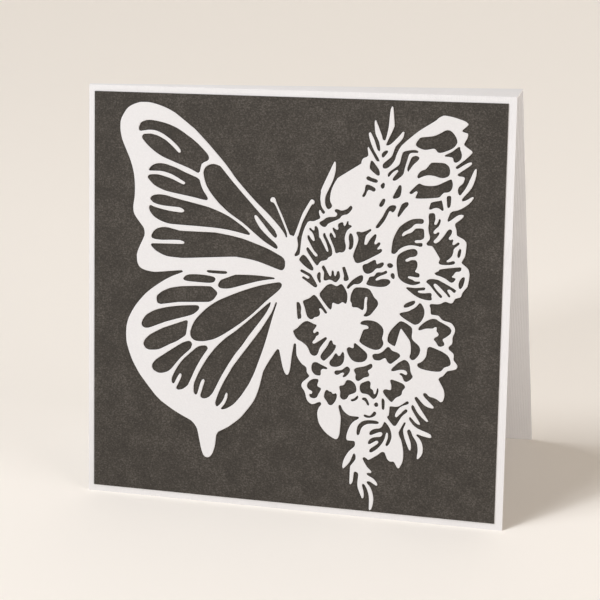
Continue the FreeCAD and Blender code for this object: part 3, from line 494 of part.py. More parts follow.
    [(90.75, 49.4), (91.0, 50.0), (91.8, 50.25), (92.9, 50.35), (93.8, 50.8), (94.6, 51.5), (95.3, 51.8),
     (96.0, 51.4), (96.3, 50.7), (96.0, 49.8), (95.4, 48.9), (94.6, 48.2), (93.9, 48.05), (93.7, 48.4),
     (94.1, 48.9), (94.25, 49.4), (93.8, 49.6), (93.1, 49.4), (92.4, 48.9), (91.6, 48.65), (91.0, 48.9)],
    [(94.95, 57.8), (95.3, 58.3), (95.9, 58.5), (96.5, 58.35), (97.1, 58.2), (97.4, 58.7), (97.4, 59.6),
     (97.8, 60.0), (98.4, 59.7), (99.3, 59.0), (100.5, 58.1), (101.5, 57.3), (102.15, 56.3), (102.1, 55.2),
     (101.5, 54.3), (100.6, 53.8), (99.3, 53.55), (98.0, 53.65), (97.0, 54.1), (96.2, 54.9), (95.5, 56.0),
     (95.1, 57.0)],
    [(97.65, 50.6), (97.9, 51.2), (98.8, 51.7), (100.2, 52.05), (101.5, 52.4), (102.6, 53.0), (103.4, 53.35),
     (104.0, 53.0), (104.0, 52.2), (103.3, 51.5), (102.6, 51.0), (102.6, 50.4), (103.0, 49.8), (102.9, 49.1),
     (102.2, 48.7), (101.2, 48.4), (100.3, 47.7), (99.5, 47.2), (98.8, 47.2), (98.3, 47.7), (98.2, 48.6),
     (98.3, 49.3), (97.9, 50.0)],
    [(92.65, 44.5), (92.9, 45.0), (93.7, 45.2), (94.4, 45.6), (94.75, 46.3), (95.0, 46.9), (95.7, 47.2),
     (96.6, 47.1), (97.5, 46.6), (98.2, 45.8), (98.6, 44.7), (98.6, 43.6), (98.0, 42.9), (97.0, 42.5),
     (96.2, 42.1), (95.7, 41.3), (95.1, 40.6), (94.2, 40.3), (93.4, 40.6), (92.95, 41.4), (93.0, 42.8)],
    [(99.8, 44.7), (99.9, 45.7), (100.5, 46.5), (101.5, 47.0), (102.5, 47.4), (103.2, 47.3), (103.6, 46.7),
     (103.5, 45.7), (103.6, 44.9), (104.2, 44.6), (104.6, 44.0), (104.75, 43.2), (105.1, 43.0), (105.5, 43.5),
     (105.8, 44.7), (106.1, 45.2), (106.4, 44.7), (106.3, 43.6), (105.8, 42.3), (105.1, 41.5), (104.6, 41.35),
     (103.9, 41.8), (103.0, 42.6), (102.0, 42.9), (101.0, 42.95), (100.3, 43.3), (99.95, 44.0)],
    [(96.75, 40.3), (97.1, 40.7), (97.9, 41.0), (98.6, 41.7), (99.1, 42.1), (99.45, 41.8), (99.2, 41.1),
     (98.5, 40.4), (97.6, 40.0), (97.0, 39.95)],
    [(100.65, 41.1), (101.1, 41.55), (101.9, 41.6), (102.5, 41.1), (103.0, 40.2), (103.25, 39.3), (102.9, 38.9),
     (102.5, 39.2), (102.0, 40.1), (101.3, 40.7), (100.8, 40.8)],
    [(104.95, 39.5), (105.3, 40.1), (105.9, 40.25), (106.35, 39.8), (106.35, 39.1), (105.9, 38.75), (105.3, 38.85)],
    [(107.55, 41.3), (107.8, 41.8), (108.2, 41.7), (108.6, 41.0), (108.65, 39.6), (108.55, 38.3), (108.2, 37.9),
     (107.8, 38.1), (107.65, 39.2)],
    [(107.95, 44.1), (108.3, 44.8), (109.0, 45.05), (109.9, 44.9), (110.5, 44.85), (110.8, 45.5), (110.75, 46.7),
     (110.4, 47.8), (110.5, 48.4), (111.0, 48.5), (112.2, 48.2), (113.6, 47.8), (114.8, 47.3), (115.5, 46.6),
     (115.5, 46.0), (115.0, 45.4), (114.6, 44.7), (114.5, 43.9), (114.0, 43.2), (113.1, 42.75), (112.3, 42.2),
     (111.7, 41.4), (111.2, 40.9), (110.6, 41.0), (109.7, 41.8), (108.7, 42.9)],
    [(110.65, 51.6), (110.9, 52.3), (111.7, 53.1), (112.8, 54.2), (114.0, 55.0), (115.0, 55.5), (115.8, 55.3),
     (116.5, 54.7), (117.0, 53.6), (117.2, 52.2), (117.5, 51.2), (118.0, 50.3), (118.0, 49.7), (117.4, 49.0),
     (116.6, 48.4), (115.9, 48.1), (115.1, 48.4), (114.7, 49.2), (114.4, 49.9), (113.8, 50.25), (113.5, 50.6),
     (113.9, 50.95), (114.7, 50.8), (115.5, 50.45), (116.1, 50.6), (116.1, 51.3), (115.5, 51.9), (114.5, 52.1),
     (113.3, 51.95), (112.2, 51.6), (111.2, 51.35)],
    [(103.95, 55.9), (104.1, 56.5), (104.8, 56.85), (106.0, 57.0), (107.1, 57.5), (108.0, 58.3), (108.8, 59.2),
     (109.4, 59.5), (110.0, 59.2), (110.6, 58.5), (111.5, 58.1), (112.6, 57.8), (113.4, 57.3), (113.55, 56.7),
     (113.1, 56.0), (112.1, 55.2), (111.1, 54.3), (110.4, 53.85), (109.7, 54.0), (109.1, 54.6), (108.7, 55.4),
     (108.1, 55.6), (107.5, 55.2), (106.7, 54.8), (105.6, 54.65), (104.7, 54.8), (104.2, 55.3)],
    [(109.65, 35.4), (110.1, 36.1), (110.3, 37.2), (110.35, 38.5), (110.6, 39.3), (111.3, 39.35), (112.4, 39.3),
     (113.5, 39.55), (114.6, 40.2), (115.6, 41.0), (116.4, 41.5), (116.95, 41.3), (116.8, 40.6), (115.9, 40.2),
     (114.7, 39.7), (113.7, 38.9), (113.0, 38.0), (112.5, 37.0), (112.3, 36.2), (112.7, 35.75), (113.2, 36.0),
     (114.0, 36.8), (114.9, 37.8), (115.6, 38.5), (116.2, 38.75), (116.6, 38.4), (116.4, 37.7), (115.6, 36.9),
     (114.7, 36.1), (114.1, 35.1), (113.5, 34.0), (112.9, 33.1), (112.2, 32.75), (111.6, 33.0), (110.7, 34.1)],
    [(101.4, 35.3), (101.7, 35.8), (102.3, 35.7), (103.1, 35.5), (103.9, 35.7), (104.5, 36.5), (105.0, 37.1),
     (105.5, 37.0), (105.8, 36.5), (105.5, 35.8), (104.7, 35.2), (103.6, 34.8), (102.5, 34.75), (101.7, 35.0)],
    [(99.05, 29.0), (99.1, 30.3), (99.4, 31.6), (100.1, 32.6), (101.1, 33.4), (102.5, 33.85), (104.2, 34.0),
     (105.9, 33.9), (106.7, 33.6), (106.7, 33.1), (106.0, 32.85), (104.4, 32.8), (102.9, 32.6), (101.8, 32.1),
     (101.0, 31.4), (100.5, 30.4), (100.2, 29.3), (99.9, 28.6), (99.4, 28.45)],
    [(108.4, 33.2), (108.8, 33.8), (109.3, 33.5), (110.1, 32.6), (110.8, 31.4), (111.2, 30.1), (111.3, 28.6),
     (110.9, 27.1), (110.3, 26.0), (109.7, 25.5), (109.3, 25.8), (109.5, 26.7), (109.9, 27.8), (110.1, 29.0),
     (110.0, 30.0), (109.6, 30.2), (109.3, 29.6), (109.0, 28.3), (108.5, 27.1), (107.7, 25.8), (106.6, 24.5),
     (105.4, 23.5), (104.4, 22.9), (103.8, 23.0), (103.7, 23.6), (104.3, 24.4), (105.4, 25.2), (106.4, 26.0),
     (106.8, 26.6), (106.6, 27.0), (105.9, 27.0), (104.9, 26.4), (103.9, 25.8), (103.3, 25.7), (103.15, 26.3),
     (103.7, 27.3), (104.7, 28.0), (106.0, 28.35), (107.2, 28.5), (107.9, 29.0), (108.1, 29.7), (107.7, 30.15),
     (106.7, 30.0), (105.4, 29.4), (104.2, 28.9), (103.6, 29.1), (103.7, 29.9), (104.5, 30.7), (105.7, 31.2),
     (106.9, 31.4), (107.7, 31.9), (108.1, 32.5)],
]


# A point is left out where the line through its neighbours passes this close to it.
STRAIGHT_WITHIN = 0.06


def make_sheet(doc):
    """Write the dimensions in a spreadsheet, one row each, with the name beside the value."""
    sheet = doc.addObject("Spreadsheet::Sheet", "sizes")
    for row, (name, value) in enumerate(DRIVING + FOLLOWING, start=1):
        sheet.set(f"A{row}", name)
        sheet.set(f"B{row}", value)
        sheet.setAlias(f"B{row}", name)
    doc.recompute()
    return sheet


def origin_plane(body, role):
    """Return the body's own origin plane that has this role."""
    return next(item for item in body.Origin.OriginFeatures if item.Role == role)


def card_profile(spine):
    """List the corners of the folded sheet at one end, as distance from the front foot and height."""
    back = f"sizes.front_reach + sizes.{spine}"
    return [
        (None, None),
        ("sizes.front_reach", "sizes.top_height"),
        (back, "sizes.top_height"),
        (f"{back} + sizes.back_reach", None),
        (f"{back} + sizes.back_reach - sizes.back_cut", None),
        (f"{back} + sizes.back_inner", "sizes.inner_height"),
        ("sizes.front_inner", "sizes.inner_height"),
        ("sizes.front_cut", None),
    ]


def add_outline_sketch(body, name, role, corners, sheet):
    """Draw a closed outline on one of the body's planes and bind every corner to the spreadsheet."""
    sketch = body.newObject("Sketcher::SketchObject", name)
    sketch.AttachmentSupport = (origin_plane(body, role), [""])
    sketch.MapMode = "FlatFace"
    start = [rough_corner(corner, sheet) for corner in corners]
    count = len(corners)
    for index in range(count):
        line = Part.LineSegment(start[index], start[(index + 1) % count])
        sketch.addGeometry(line, False)
    for index in range(count):
        sketch.addConstraint(Sketcher.Constraint("Coincident", index, 2, (index + 1) % count, 1))
    for index, (across, up) in enumerate(corners):
        if across is None:
            sketch.addConstraint(Sketcher.Constraint("Coincident", index, 1, -1, 1))
            continue
        bind_distance(sketch, "DistanceX", index, start[index].x, across)
        if up is None:
            sketch.addConstraint(Sketcher.Constraint("PointOnObject", index, 1, -1))
        else:
            bind_distance(sketch, "DistanceY", index, start[index].y, up)
    return sketch


def rough_corner(corner, sheet):
    """Work out where a corner starts, before its distances are bound."""
    values = []
    for formula in corner:
        total = 0.0
        sign = 1.0
        for word in (formula or "").split():
            if word in "+-":
                sign = 1.0 if word == "+" else -1.0
            else:
                total += sign * float(getattr(sheet, word.replace("sizes.", "")))
        values.append(total)
    return FreeCAD.Vector(values[0], values[1], 0)


def bind_distance(sketch, kind, index, value, formula):
    """Hold a line's first point at a distance from the sketch's origin that the spreadsheet gives."""
    number = sketch.addConstraint(Sketcher.Constraint(kind, -1, 1, index, 1, value))
    sketch.setExpression(f"Constraints[{number}]", formula)


def make_card(doc, sheet):
    """Make the folded sheet as a loft from its left end to its right end, where the fold opens out."""
    body = doc.addObject("PartDesign::Body", "folded_card")
    left = add_outline_sketch(body, "left_end", "YZ_Plane", card_profile("spine_left"), sheet)
    right = add_outline_sketch(body, "right_end", "YZ_Plane", card_profile("spine_right"), sheet)
    right.setExpression("AttachmentOffset.Base.z", "sizes.card_width")
    loft = body.newObject("PartDesign::AdditiveLoft", "folded_sheet")
    loft.Profile = left
    loft.Sections = [right]
    loft.Ruled = True
    askew = [
        ("sizes.card_width", "sizes.inner_height"),
        ("sizes.card_width - sizes.foot_inset", None),
        ("sizes.card_width", None),
    ]
    sliver = add_outline_sketch(body, "askew_edge", "XZ_Plane", askew, sheet)
    sliver.setExpression("AttachmentOffset.Base.z", "-sizes.front_reach - 2 * sizes.card_thick")
    pocket = body.newObject("PartDesign::Pocket", "back_leaf_trim")
    pocket.Profile = sliver
    pocket.Type = "ThroughAll"
    body.setExpression("Placement.Base.x", "-sizes.card_width / 2")
    body.setExpression("Placement.Base.y", "-sizes.depth / 2")
    return body


def lay_on_leaf(part, out_by, across, up):
    """Lay a part on the leaning front leaf, out from it, across it and up it by the given sizes."""
    part.Placement = FreeCAD.Placement(FreeCAD.Vector(), FreeCAD.Rotation(FreeCAD.Vector(-1, 0, 0), 10))
    part.setExpression("Placement.Rotation.Angle", "sizes.front_lean")
    part.setExpression("Placement.Base.x", f"{across} - sizes.card_width / 2")
    part.setExpression(
        "Placement.Base.y",
        f"-{out_by} * cos(sizes.front_lean) + {up} * sin(sizes.front_lean) - sizes.depth / 2",
    )
    part.setExpression(
        "Placement.Base.z",
        f"{out_by} * sin(sizes.front_lean) + {up} * cos(sizes.front_lean)",
    )


def make_mat(doc):
    """Make the dark mat, which leaves a narrow white border of card all round."""
    mat = doc.addObject("Part::Box", "dark_mat")
    mat.setExpression("Length", "sizes.mat_width")
    mat.setExpression("Width", "sizes.mat_thick")
    mat.setExpression("Height", "sizes.mat_length")
    lay_on_leaf(mat, "sizes.mat_thick", "sizes.border_left", "sizes.border_foot")
    return mat


def on_leaf(points, sheet):
    """Turn drawn points into places on the leaf, scaled about the leaf's middle."""
    scale = float(sheet.butterfly_scale)
    middle_across = float(sheet.card_width) / 2
    middle_up = float(sheet.leaf_length) / 2
    drawn_across = float(sheet.drawn_width) / 2
    drawn_up = float(sheet.drawn_length) / 2
    return [
        FreeCAD.Vector((x - drawn_across) * scale + middle_across, 0, (z - drawn_up) * scale + middle_up)
        for x, z in points
    ]


def rounded(points):
    """Put a point between each two of a run, by the four-point rule, so that the run turns smoothly.

    The new point is nine sixteenths of both near points less one sixteenth of both next ones.
    """
    run = []
    for index in range(len(points) - 1):
        near, far = points[index], points[index + 1]
        before = points[max(index - 1, 0)]
        after = points[min(index + 2, len(points) - 1)]
        between = tuple(
            (9 * (near[axis] + far[axis]) - before[axis] - after[axis]) / 16
            for axis in (0, 1)
        )
        run += [near, between]
    return run + points[-1:]


def needed(points):
    """Keep the ends and each point that stands off the straight line between kept points."""
    first, last = points[0], points[-1]
    run = (last[0] - first[0], last[1] - first[1])
    length = math.hypot(*run)
    offsets = [
        abs(run[0] * (z - first[1]) - run[1] * (x - first[0])) / length
        for x, z in points[1:-1]
    ]
    if not offsets or max(offsets) <= STRAIGHT_WITHIN:
        return [first, last]
    turn = offsets.index(max(offsets)) + 1
    return needed(points[:turn + 1])[:-1] + needed(points[turn:])


def cuts(points, sheet):
    """Return the edges of a run of cuts through the points that its shape needs."""
    return Part.makePolygon(on_leaf(needed(points), sheet)).Edges


def window_wire(points, sheet):
    """Return a closed wire, thinned as two halves because each half has two ends."""
    half = len(points) // 2
    return Part.Wire(cuts(points[:half + 1], sheet) + cuts(points[half:], sheet))


def butterfly_face(sheet):
    """Make the butterfly's flat shape, with all its windows, in the plane of the leaf."""
    wing_edge = rounded(FOREWING_EDGE)[:-1] + rounded(HINDWING_EDGE)
    edges = cuts(wing_edge, sheet) + cuts(LEAFY_EDGE[::-1], sheet)
    wires = [Part.Wire(edges)]
    wires += [window_wire(rounded(window + window[:1]), sheet) for window in WING_WINDOWS]
    wires += [window_wire(window + window[:1], sheet) for window in LEAFY_WINDOWS]
    return Part.makeFace(wires, "Part::FaceMakerBullseye")


def make_butterfly(doc, sheet):
    """Make the butterfly, one sheet with wings on the left and flowers and leaves on the right."""
    drawing = doc.addObject("Part::Feature", "butterfly_drawing")
    drawing.Shape = butterfly_face(sheet)
    butterfly = doc.addObject("Part::Extrusion", "butterfly")
    butterfly.Base = drawing
    butterfly.DirMode = "Custom"
    butterfly.Dir = FreeCAD.Vector(0, -1, 0)
    butterfly.Solid = True
    butterfly.setExpression("LengthFwd", "sizes.butterfly_thick")
    lay_on_leaf(butterfly, "sizes.mat_thick", "0", "0")
    return butterfly


def check(doc, parts):
    """Stop if anything in the document failed or a part isn't one sound solid."""
    for item in doc.Objects:
        if "Invalid" in item.State or "Error" in item.State:
            raise RuntimeError(f"{item.Name} failed: {item.State}")
    for part in parts:
        shape = part.Shape
        if shape.isNull() or not shape.isValid() or len(shape.Solids) != 1:
            raise RuntimeError(f"{part.Name} isn't one sound solid")


def main():
    doc = FreeCAD.newDocument("greeting_card")
    sheet = make_sheet(doc)
    parts = [make_card(doc, sheet), make_mat(doc), make_butterfly(doc, sheet)]
    for part in parts:
        part.Label = part.Name
    doc.recompute()
    check(doc, parts)
    os.makedirs("parts", exist_ok=True)
    for part in parts:
        part.Shape.exportStep(f"parts/{part.Label}.step")


main()
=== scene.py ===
import bmesh
import bpy
import numpy as np
from mathutils import Matrix, Vector


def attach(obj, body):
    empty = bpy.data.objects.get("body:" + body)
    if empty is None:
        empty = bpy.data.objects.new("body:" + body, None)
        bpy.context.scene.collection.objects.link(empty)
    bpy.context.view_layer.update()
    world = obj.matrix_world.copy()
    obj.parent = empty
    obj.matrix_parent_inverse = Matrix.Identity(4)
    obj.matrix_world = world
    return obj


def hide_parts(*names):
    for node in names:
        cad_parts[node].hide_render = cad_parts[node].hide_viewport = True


# A folded greeting card standing like a tent, with a dark fibre mat and a die-cut butterfly on its front.
# The scene's own unit is the metre, and MM turns a size in millimetres to metres.
MM = 0.001

# Sizes of the card, in millimetres, and how far its front leaf leans back.
CARD_WIDTH = 150.0
BUTTERFLY_THICK = 0.5
HALF_DEPTH = 34.87
FRONT_LEAN = np.radians(13.9)

# The place that every lamp faces, in metres.
CARD_MIDDLE = (0, 0, 0.07)

# How paper edges end: a cut through card is pressed round by the blade, less so in thin paper.
CARD_EDGE_ROUND = 0.09
MAT_EDGE_ROUND = 0.07
CUT_EDGE_ROUND = 0.22
EDGE_STEPS = 3

# How far apart the points lie along a cut rim, in millimetres.
RIM_SPACING = 0.35

# The camera, as solved from the photo, in the front leaf's own directions: right, away and up the leaf.
CAMERA_ON_LEAF = (263.8, -591.3, 166.5)
CAMERA_TURN = (0.1562, 0.3011, 0.0651)
FOCAL_PIXELS = 1847.55
IMAGE_PIXELS = 600
SENSOR_WIDTH = 36.0

# Colours as they look, in sRGB.
CARD_WHITE = "#EDECEC"
CARD_SHADE = "#EAE9E9"
MAT_LIGHT = "#66615B"
MAT_MIDDLE = "#48443F"
MAT_DARK = "#3D3A36"
BUTTERFLY_WHITE = "#E9E8E8"
BUTTERFLY_SHADE = "#E4E3E3"
FLOOR_CREAM = "#F9F4EC"
BACKDROP_CREAM = "#F1E9DE"


def linear(hex_colour):
    """Turn an sRGB hex colour to linear red, green, blue and alpha."""
    srgb = np.array([int(hex_colour[i:i + 2], 16) / 255 for i in (1, 3, 5)])
    low = srgb / 12.92
    high = ((srgb + 0.055) / 1.055) ** 2.4
    return (*np.where(srgb <= 0.04045, low, high), 1.0)


def add(tree, kind, settings=None, **inputs):
    """Add a node, set its settings, and set or link its inputs, whose names use _ for a space."""
    node = tree.nodes.new(kind)
    for name, value in (settings or {}).items():
        setattr(node, name, value)
    for name, value in inputs.items():
        socket = node.inputs[int(name[1:])] if name[1:].isdigit() else node.inputs[name.replace("_", " ")]
        if isinstance(value, bpy.types.NodeSocket):
            tree.links.new(value, socket)
        else:
            socket.default_value = value
    return node


def new_material(name):
    """Start a material with only its output, and return it with its tree."""
    material = bpy.data.materials.new(name)
    material.use_nodes = True
    material.node_tree.nodes.clear()
    return material, material.node_tree


def finish_material(tree, colour, height, roughness, shine, bump_depth):
    """Close a paper material: a rough face, a faint broad sheen and a grain this many millimetres deep."""
    bump = add(tree, "ShaderNodeBump", Strength=1.0, Distance=bump_depth * MM, Height=height)
    shader = add(tree, "ShaderNodeBsdfPrincipled", Base_Color=colour, Roughness=roughness,
                 Specular_IOR_Level=shine, Normal=bump.outputs["Normal"])
    add(tree, "ShaderNodeOutputMaterial", Surface=shader.outputs["BSDF"])


def colour_ramp(tree, factor, stops):
    """Blend between colours: stops are (place from 0 to 1, hex colour)."""
    ramp = add(tree, "ShaderNodeValToRGB", Fac=factor)
    elements = ramp.color_ramp.elements
    while len(elements) < len(stops):
        elements.new(0.5)
    for element, (place, colour) in zip(elements, stops):
        element.position = place
        element.color = linear(colour)
    return ramp.outputs["Color"]


def laid_card():
    """White laid card stock, pressed on a wire mould: faint ribs 0.9 mm apart under a fine felt grain."""
    material, tree = new_material("laid_card_stock")
    place = add(tree, "ShaderNodeTexCoord").outputs["Object"]
    rib_spacing = 0.9 * MM
    ribs = add(tree, "ShaderNodeTexWave", {"bands_direction": "X"}, Vector=place,
               Scale=0.05 * 2 * np.pi / rib_spacing, Distortion=1.2, Detail=2.0, Detail_Scale=2.0)
    felt_grain = 0.35 * MM
    felt = add(tree, "ShaderNodeTexNoise", Vector=place, Scale=1 / felt_grain, Detail=3.0, Roughness=0.6)
    cloud_size = 14 * MM
    cloud = add(tree, "ShaderNodeTexNoise", Vector=place, Scale=1 / cloud_size, Detail=2.0)
    relief = add(tree, "ShaderNodeMath", {"operation": "MULTIPLY_ADD"}, _0=ribs.outputs["Fac"], _1=0.4,
                 _2=felt.outputs["Fac"])
    colour = colour_ramp(tree, cloud.outputs["Fac"], [(0.3, CARD_SHADE), (0.65, CARD_WHITE)])
    finish_material(tree, colour, relief.outputs["Value"], roughness=0.75, shine=0.3, bump_depth=0.09)
    return material


def fibre_paper():
    """Charcoal-taupe fibre paper: fine pale specks and short level fibres over faint wide clouds, matte."""
    material, tree = new_material("mottled_fibre_paper")
    place = add(tree, "ShaderNodeTexCoord").outputs["Object"]
    cloud_size = 7 * MM
    clouds = add(tree, "ShaderNodeTexNoise", Vector=place, Scale=1 / cloud_size, Detail=3.0, Roughness=0.55)
    speck_size = 0.55 * MM
    specks = add(tree, "ShaderNodeTexNoise", Vector=place, Scale=1 / speck_size, Detail=4.0, Roughness=0.75)
    level = add(tree, "ShaderNodeMapping", Vector=place, Scale=(0.55, 1.0, 1.0))
    fibre_width = 0.45 * MM
    fibres = add(tree, "ShaderNodeTexNoise", Vector=level.outputs["Vector"], Scale=1 / fibre_width,
                 Detail=2.0, Roughness=0.6)
    felt = add(tree, "ShaderNodeMath", {"operation": "MULTIPLY_ADD"}, _0=fibres.outputs["Fac"], _1=0.5,
               _2=specks.outputs["Fac"])
    both = add(tree, "ShaderNodeMath", {"operation": "MULTIPLY_ADD"}, _0=clouds.outputs["Fac"], _1=0.35,
               _2=felt.outputs["Value"])
    spread = add(tree, "ShaderNodeMapRange", Value=both.outputs["Value"], From_Min=0.68, From_Max=1.2)
    colour = colour_ramp(tree, spread.outputs["Result"],
                         [(0.1, MAT_DARK), (0.5, MAT_MIDDLE), (0.95, MAT_LIGHT)])
    finish_material(tree, colour, felt.outputs["Value"], roughness=0.9, shine=0.12, bump_depth=0.035)
    return material


def smooth_card():
    """Smooth white die-cutting card: a pressed, even face with only a trace of grain."""
    material, tree = new_material("smooth_die_cut_card")
    place = add(tree, "ShaderNodeTexCoord").outputs["Object"]
    grain_size = 0.6 * MM
    grain = add(tree, "ShaderNodeTexNoise", Vector=place, Scale=1 / grain_size, Detail=2.0)
    colour = colour_ramp(tree, grain.outputs["Fac"], [(0.2, BUTTERFLY_SHADE), (0.7, BUTTERFLY_WHITE)])
    finish_material(tree, colour, grain.outputs["Fac"], roughness=0.65, shine=0.3, bump_depth=0.05)
    return material


def leaf_to_world():
    """Return the matrix from the leaf's own directions, in metres, to the card's standing place."""
    lean = Matrix.Rotation(-FRONT_LEAN, 4, "X")
    foot = Vector((-CARD_WIDTH / 2 * MM, -HALF_DEPTH * MM, 0))
    return Matrix.Translation(foot) @ lean


def merged_copy(node_name, name):
    """Copy a solid's mesh, merge its loose triangles and join flat neighbours to whole faces."""
    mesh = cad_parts[node_name].data.copy()
    mesh.name = name
    piece = bpy.data.objects.new(name, mesh)
    bpy.context.scene.collection.objects.link(piece)
    work = bmesh.new()
    work.from_mesh(mesh)
    bmesh.ops.remove_doubles(work, verts=work.verts, dist=0.002 * MM)
    bmesh.ops.dissolve_limit(work, angle_limit=np.radians(0.5), verts=work.verts, edges=work.edges)
    work.to_mesh(mesh)
    work.free()
    return piece


def round_edges(piece, radius, sharp_above=30):
    """Round every sharp edge with a bevel of this radius in millimetres, and shade the faces smooth."""
    bevel = piece.modifiers.new("pressed_edge", "BEVEL")
    bevel.width = radius * MM
    bevel.segments = EDGE_STEPS
    bevel.limit_method = "ANGLE"
    bevel.angle_limit = np.radians(sharp_above)
    bevel.harden_normals = True
    bevel.use_clamp_overlap = True
    for face in piece.data.polygons:
        face.use_smooth = True


def outline_loops(piece, normal):
    """List the closed rims of the piece's front face, each an array of points in order round the rim."""
    work = bmesh.new()
    work.from_mesh(piece.data)
    front = {f for f in work.faces if f.normal.dot(normal) > 0.9}
    follow = {}
    for face in sorted(front, key=lambda f: f.index):
        for loop in face.loops:
            if not any(other in front for other in loop.edge.link_faces if other is not face):
                follow[loop.vert.index] = loop.link_loop_next.vert.index
    places = np.array([v.co for v in work.verts])
    loops = []
    while follow:
        start, following = follow.popitem()
        order = [start]
        while following != start:
            order.append(following)
            following = follow.pop(following)
        loops.append(places[order])
    work.free()
    return loops


def smooth_loop(points, spacing):
    """Run an even curve through a closed loop of points.

    Each stretch is the cubic that passes through two points with a slope set by the points either side
    of them, sampled so that neighbours are about one spacing apart.
    """
    before, start, end, after = (np.roll(points, shift, axis=0) for shift in (1, 0, -1, -2))
    counts = np.maximum(1, np.round(np.linalg.norm(end - start, axis=1) / spacing)).astype(int)
    stretch = np.repeat(np.arange(len(points)), counts)
    first = np.concatenate(([0], np.cumsum(counts)[:-1]))
    along = ((np.arange(counts.sum()) - first[stretch]) / counts[stretch])[:, None]
    p0, p1, p2, p3 = before[stretch], start[stretch], end[stretch], after[stretch]
    return 0.5 * (
        2 * p1 + (p2 - p0) * along + (2 * p0 - 5 * p1 + 4 * p2 - p3) * along ** 2
        + (3 * p1 - p0 - 3 * p2 + p3) * along ** 3
    )


def start_clear(paths):
    """Start each path at its point whose height is least shared, and put the paths in order, widest first.

    Blender fills the paths as one sheet with holes. With their order and starts left to chance, a small
    window or two came out narrower in one run than in another.
    """
    heights = np.sort(np.concatenate([path[:, 1] for path in paths]))
    started = []
    for path in paths:
        at = np.searchsorted(heights, path[:, 1])
        below = path[:, 1] - heights[np.maximum(at - 1, 0)]
        above = heights[np.minimum(at + 1, len(heights) - 1)] - path[:, 1]
        started.append(np.roll(path, -int(np.argmax(np.minimum(below, above))), axis=0))
    return sorted(started, key=lambda path: (-np.ptp(path[:, 0]), path[0, 0], path[0, 1]))


def die_cut(node_name, name, thick, edge_round, spacing):
    """Cut a sheet again from the rims of its solid, smoothly, with the edges the die leaves.

    The rims are laid flat in the leaf's own directions, filled as one closed curve with its windows,
    given their thickness with rounded edges, and stood back on the leaning leaf.
    """
    flat = merged_copy(node_name, name + "_rims")
    stand = leaf_to_world()
    lie = stand.inverted()
    flat.data.transform(lie)
    loops = outline_loops(flat, Vector((0, -1, 0)))
    front_at = min(loop[:, 1].min() for loop in loops)
    bpy.data.objects.remove(flat)

    curve = bpy.data.curves.new(name, "CURVE")
    curve.dimensions = "2D"
    curve.fill_mode = "BOTH"
    curve.extrude = (thick / 2 - edge_round) * MM
    curve.bevel_depth = edge_round * MM
    curve.bevel_resolution = EDGE_STEPS - 1
    curve.offset = -edge_round * MM
    for path in start_clear([smooth_loop(loop[:, [0, 2]], spacing * MM) for loop in loops]):
        spline = curve.splines.new("POLY")
        spline.points.add(len(path) - 1)
        places = np.zeros((len(path), 4))
        places[:, :2] = path
        places[:, 3] = 1.0
        spline.points.foreach_set("co", places.ravel())
        spline.use_cyclic_u = True
    shape = bpy.data.objects.new(name + "_curve", curve)
    bpy.context.scene.collection.objects.link(shape)
    bpy.context.view_layer.update()
    mesh = bpy.data.meshes.new_from_object(shape.evaluated_get(bpy.context.evaluated_depsgraph_get()))
    bpy.data.objects.remove(shape)

    # A flat curve lies in X and Y, facing Z: stand it up so that Y goes up the leaf and Z faces out.
    upright = Matrix.Rotation(np.pi / 2, 4, "X")
    middle = Matrix.Translation((0, front_at + thick / 2 * MM, 0))
    mesh.transform(stand @ middle @ upright)
    mesh.name = name
    piece = bpy.data.objects.new(name, mesh)
    bpy.context.scene.collection.objects.link(piece)
    work = bmesh.new()
    work.from_mesh(mesh)
    bmesh.ops.remove_doubles(work, verts=work.verts, dist=0.004 * MM)
    bmesh.ops.recalc_face_normals(work, faces=work.faces)
    work.to_mesh(mesh)
    work.free()
    return piece


def paint(piece, material):
    """Give a piece its one material."""
    piece.data.materials.clear()
    piece.data.materials.append(material)


def dressed_sheet(node_name, name, edge_round, material):
    """Stand for a plain sheet's solid with a copy whose edges are pressed round."""
    piece = merged_copy(node_name, name)
    round_edges(piece, edge_round)
    paint(piece, material)
    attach(piece, "root")
    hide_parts(node_name)
    return piece


def add_floor():
    """Lay a wide pale floor that turns up to a backdrop: flat, then a quarter circle, then upright."""
    half_width, front, back, bend, height = 4.0, -3.0, 1.4, 0.6, 3.0
    turn = np.linspace(0, np.pi / 2, 24)
    run_y = np.concatenate(([front], back - bend + bend * np.sin(turn), [back]))
    run_z = np.concatenate(([0.0], bend - bend * np.cos(turn), [height]))
    sides = np.array([-half_width, half_width])
    points = np.stack([
        np.repeat(sides, len(run_y)), np.tile(run_y, 2), np.tile(run_z, 2),
    ], axis=1)
    count = len(run_y)
    first = np.arange(count - 1)
    quads = np.stack([first, first + count, first + count + 1, first + 1], axis=1)
    mesh = bpy.data.meshes.new("floor")
    mesh.from_pydata(points.tolist(), [], quads.tolist())
    floor = bpy.data.objects.new("floor", mesh)
    bpy.context.scene.collection.objects.link(floor)
    for face in mesh.polygons:
        face.use_smooth = True
    material, tree = new_material("cream_paper_floor")
    shader = add(tree, "ShaderNodeBsdfPrincipled", Base_Color=linear(FLOOR_CREAM), Roughness=0.9)
    add(tree, "ShaderNodeOutputMaterial", Surface=shader.outputs["BSDF"])
    paint(floor, material)


def hang(name, lamp, place, colour):
    """Hang a lamp at a place, facing the middle of the card."""
    lamp.color = linear(colour)[:3]
    hung = bpy.data.objects.new(name, lamp)
    hung.location = place
    hung.rotation_euler = (Vector(CARD_MIDDLE) - Vector(place)).to_track_quat("-Z", "Y").to_euler()
    bpy.context.scene.collection.objects.link(hung)


def add_lamp(name, place, size, power, colour):
    """Hang a square soft lamp."""
    lamp = bpy.data.lights.new(name, "AREA")
    lamp.size = size
    lamp.energy = power
    hang(name, lamp, place, colour)


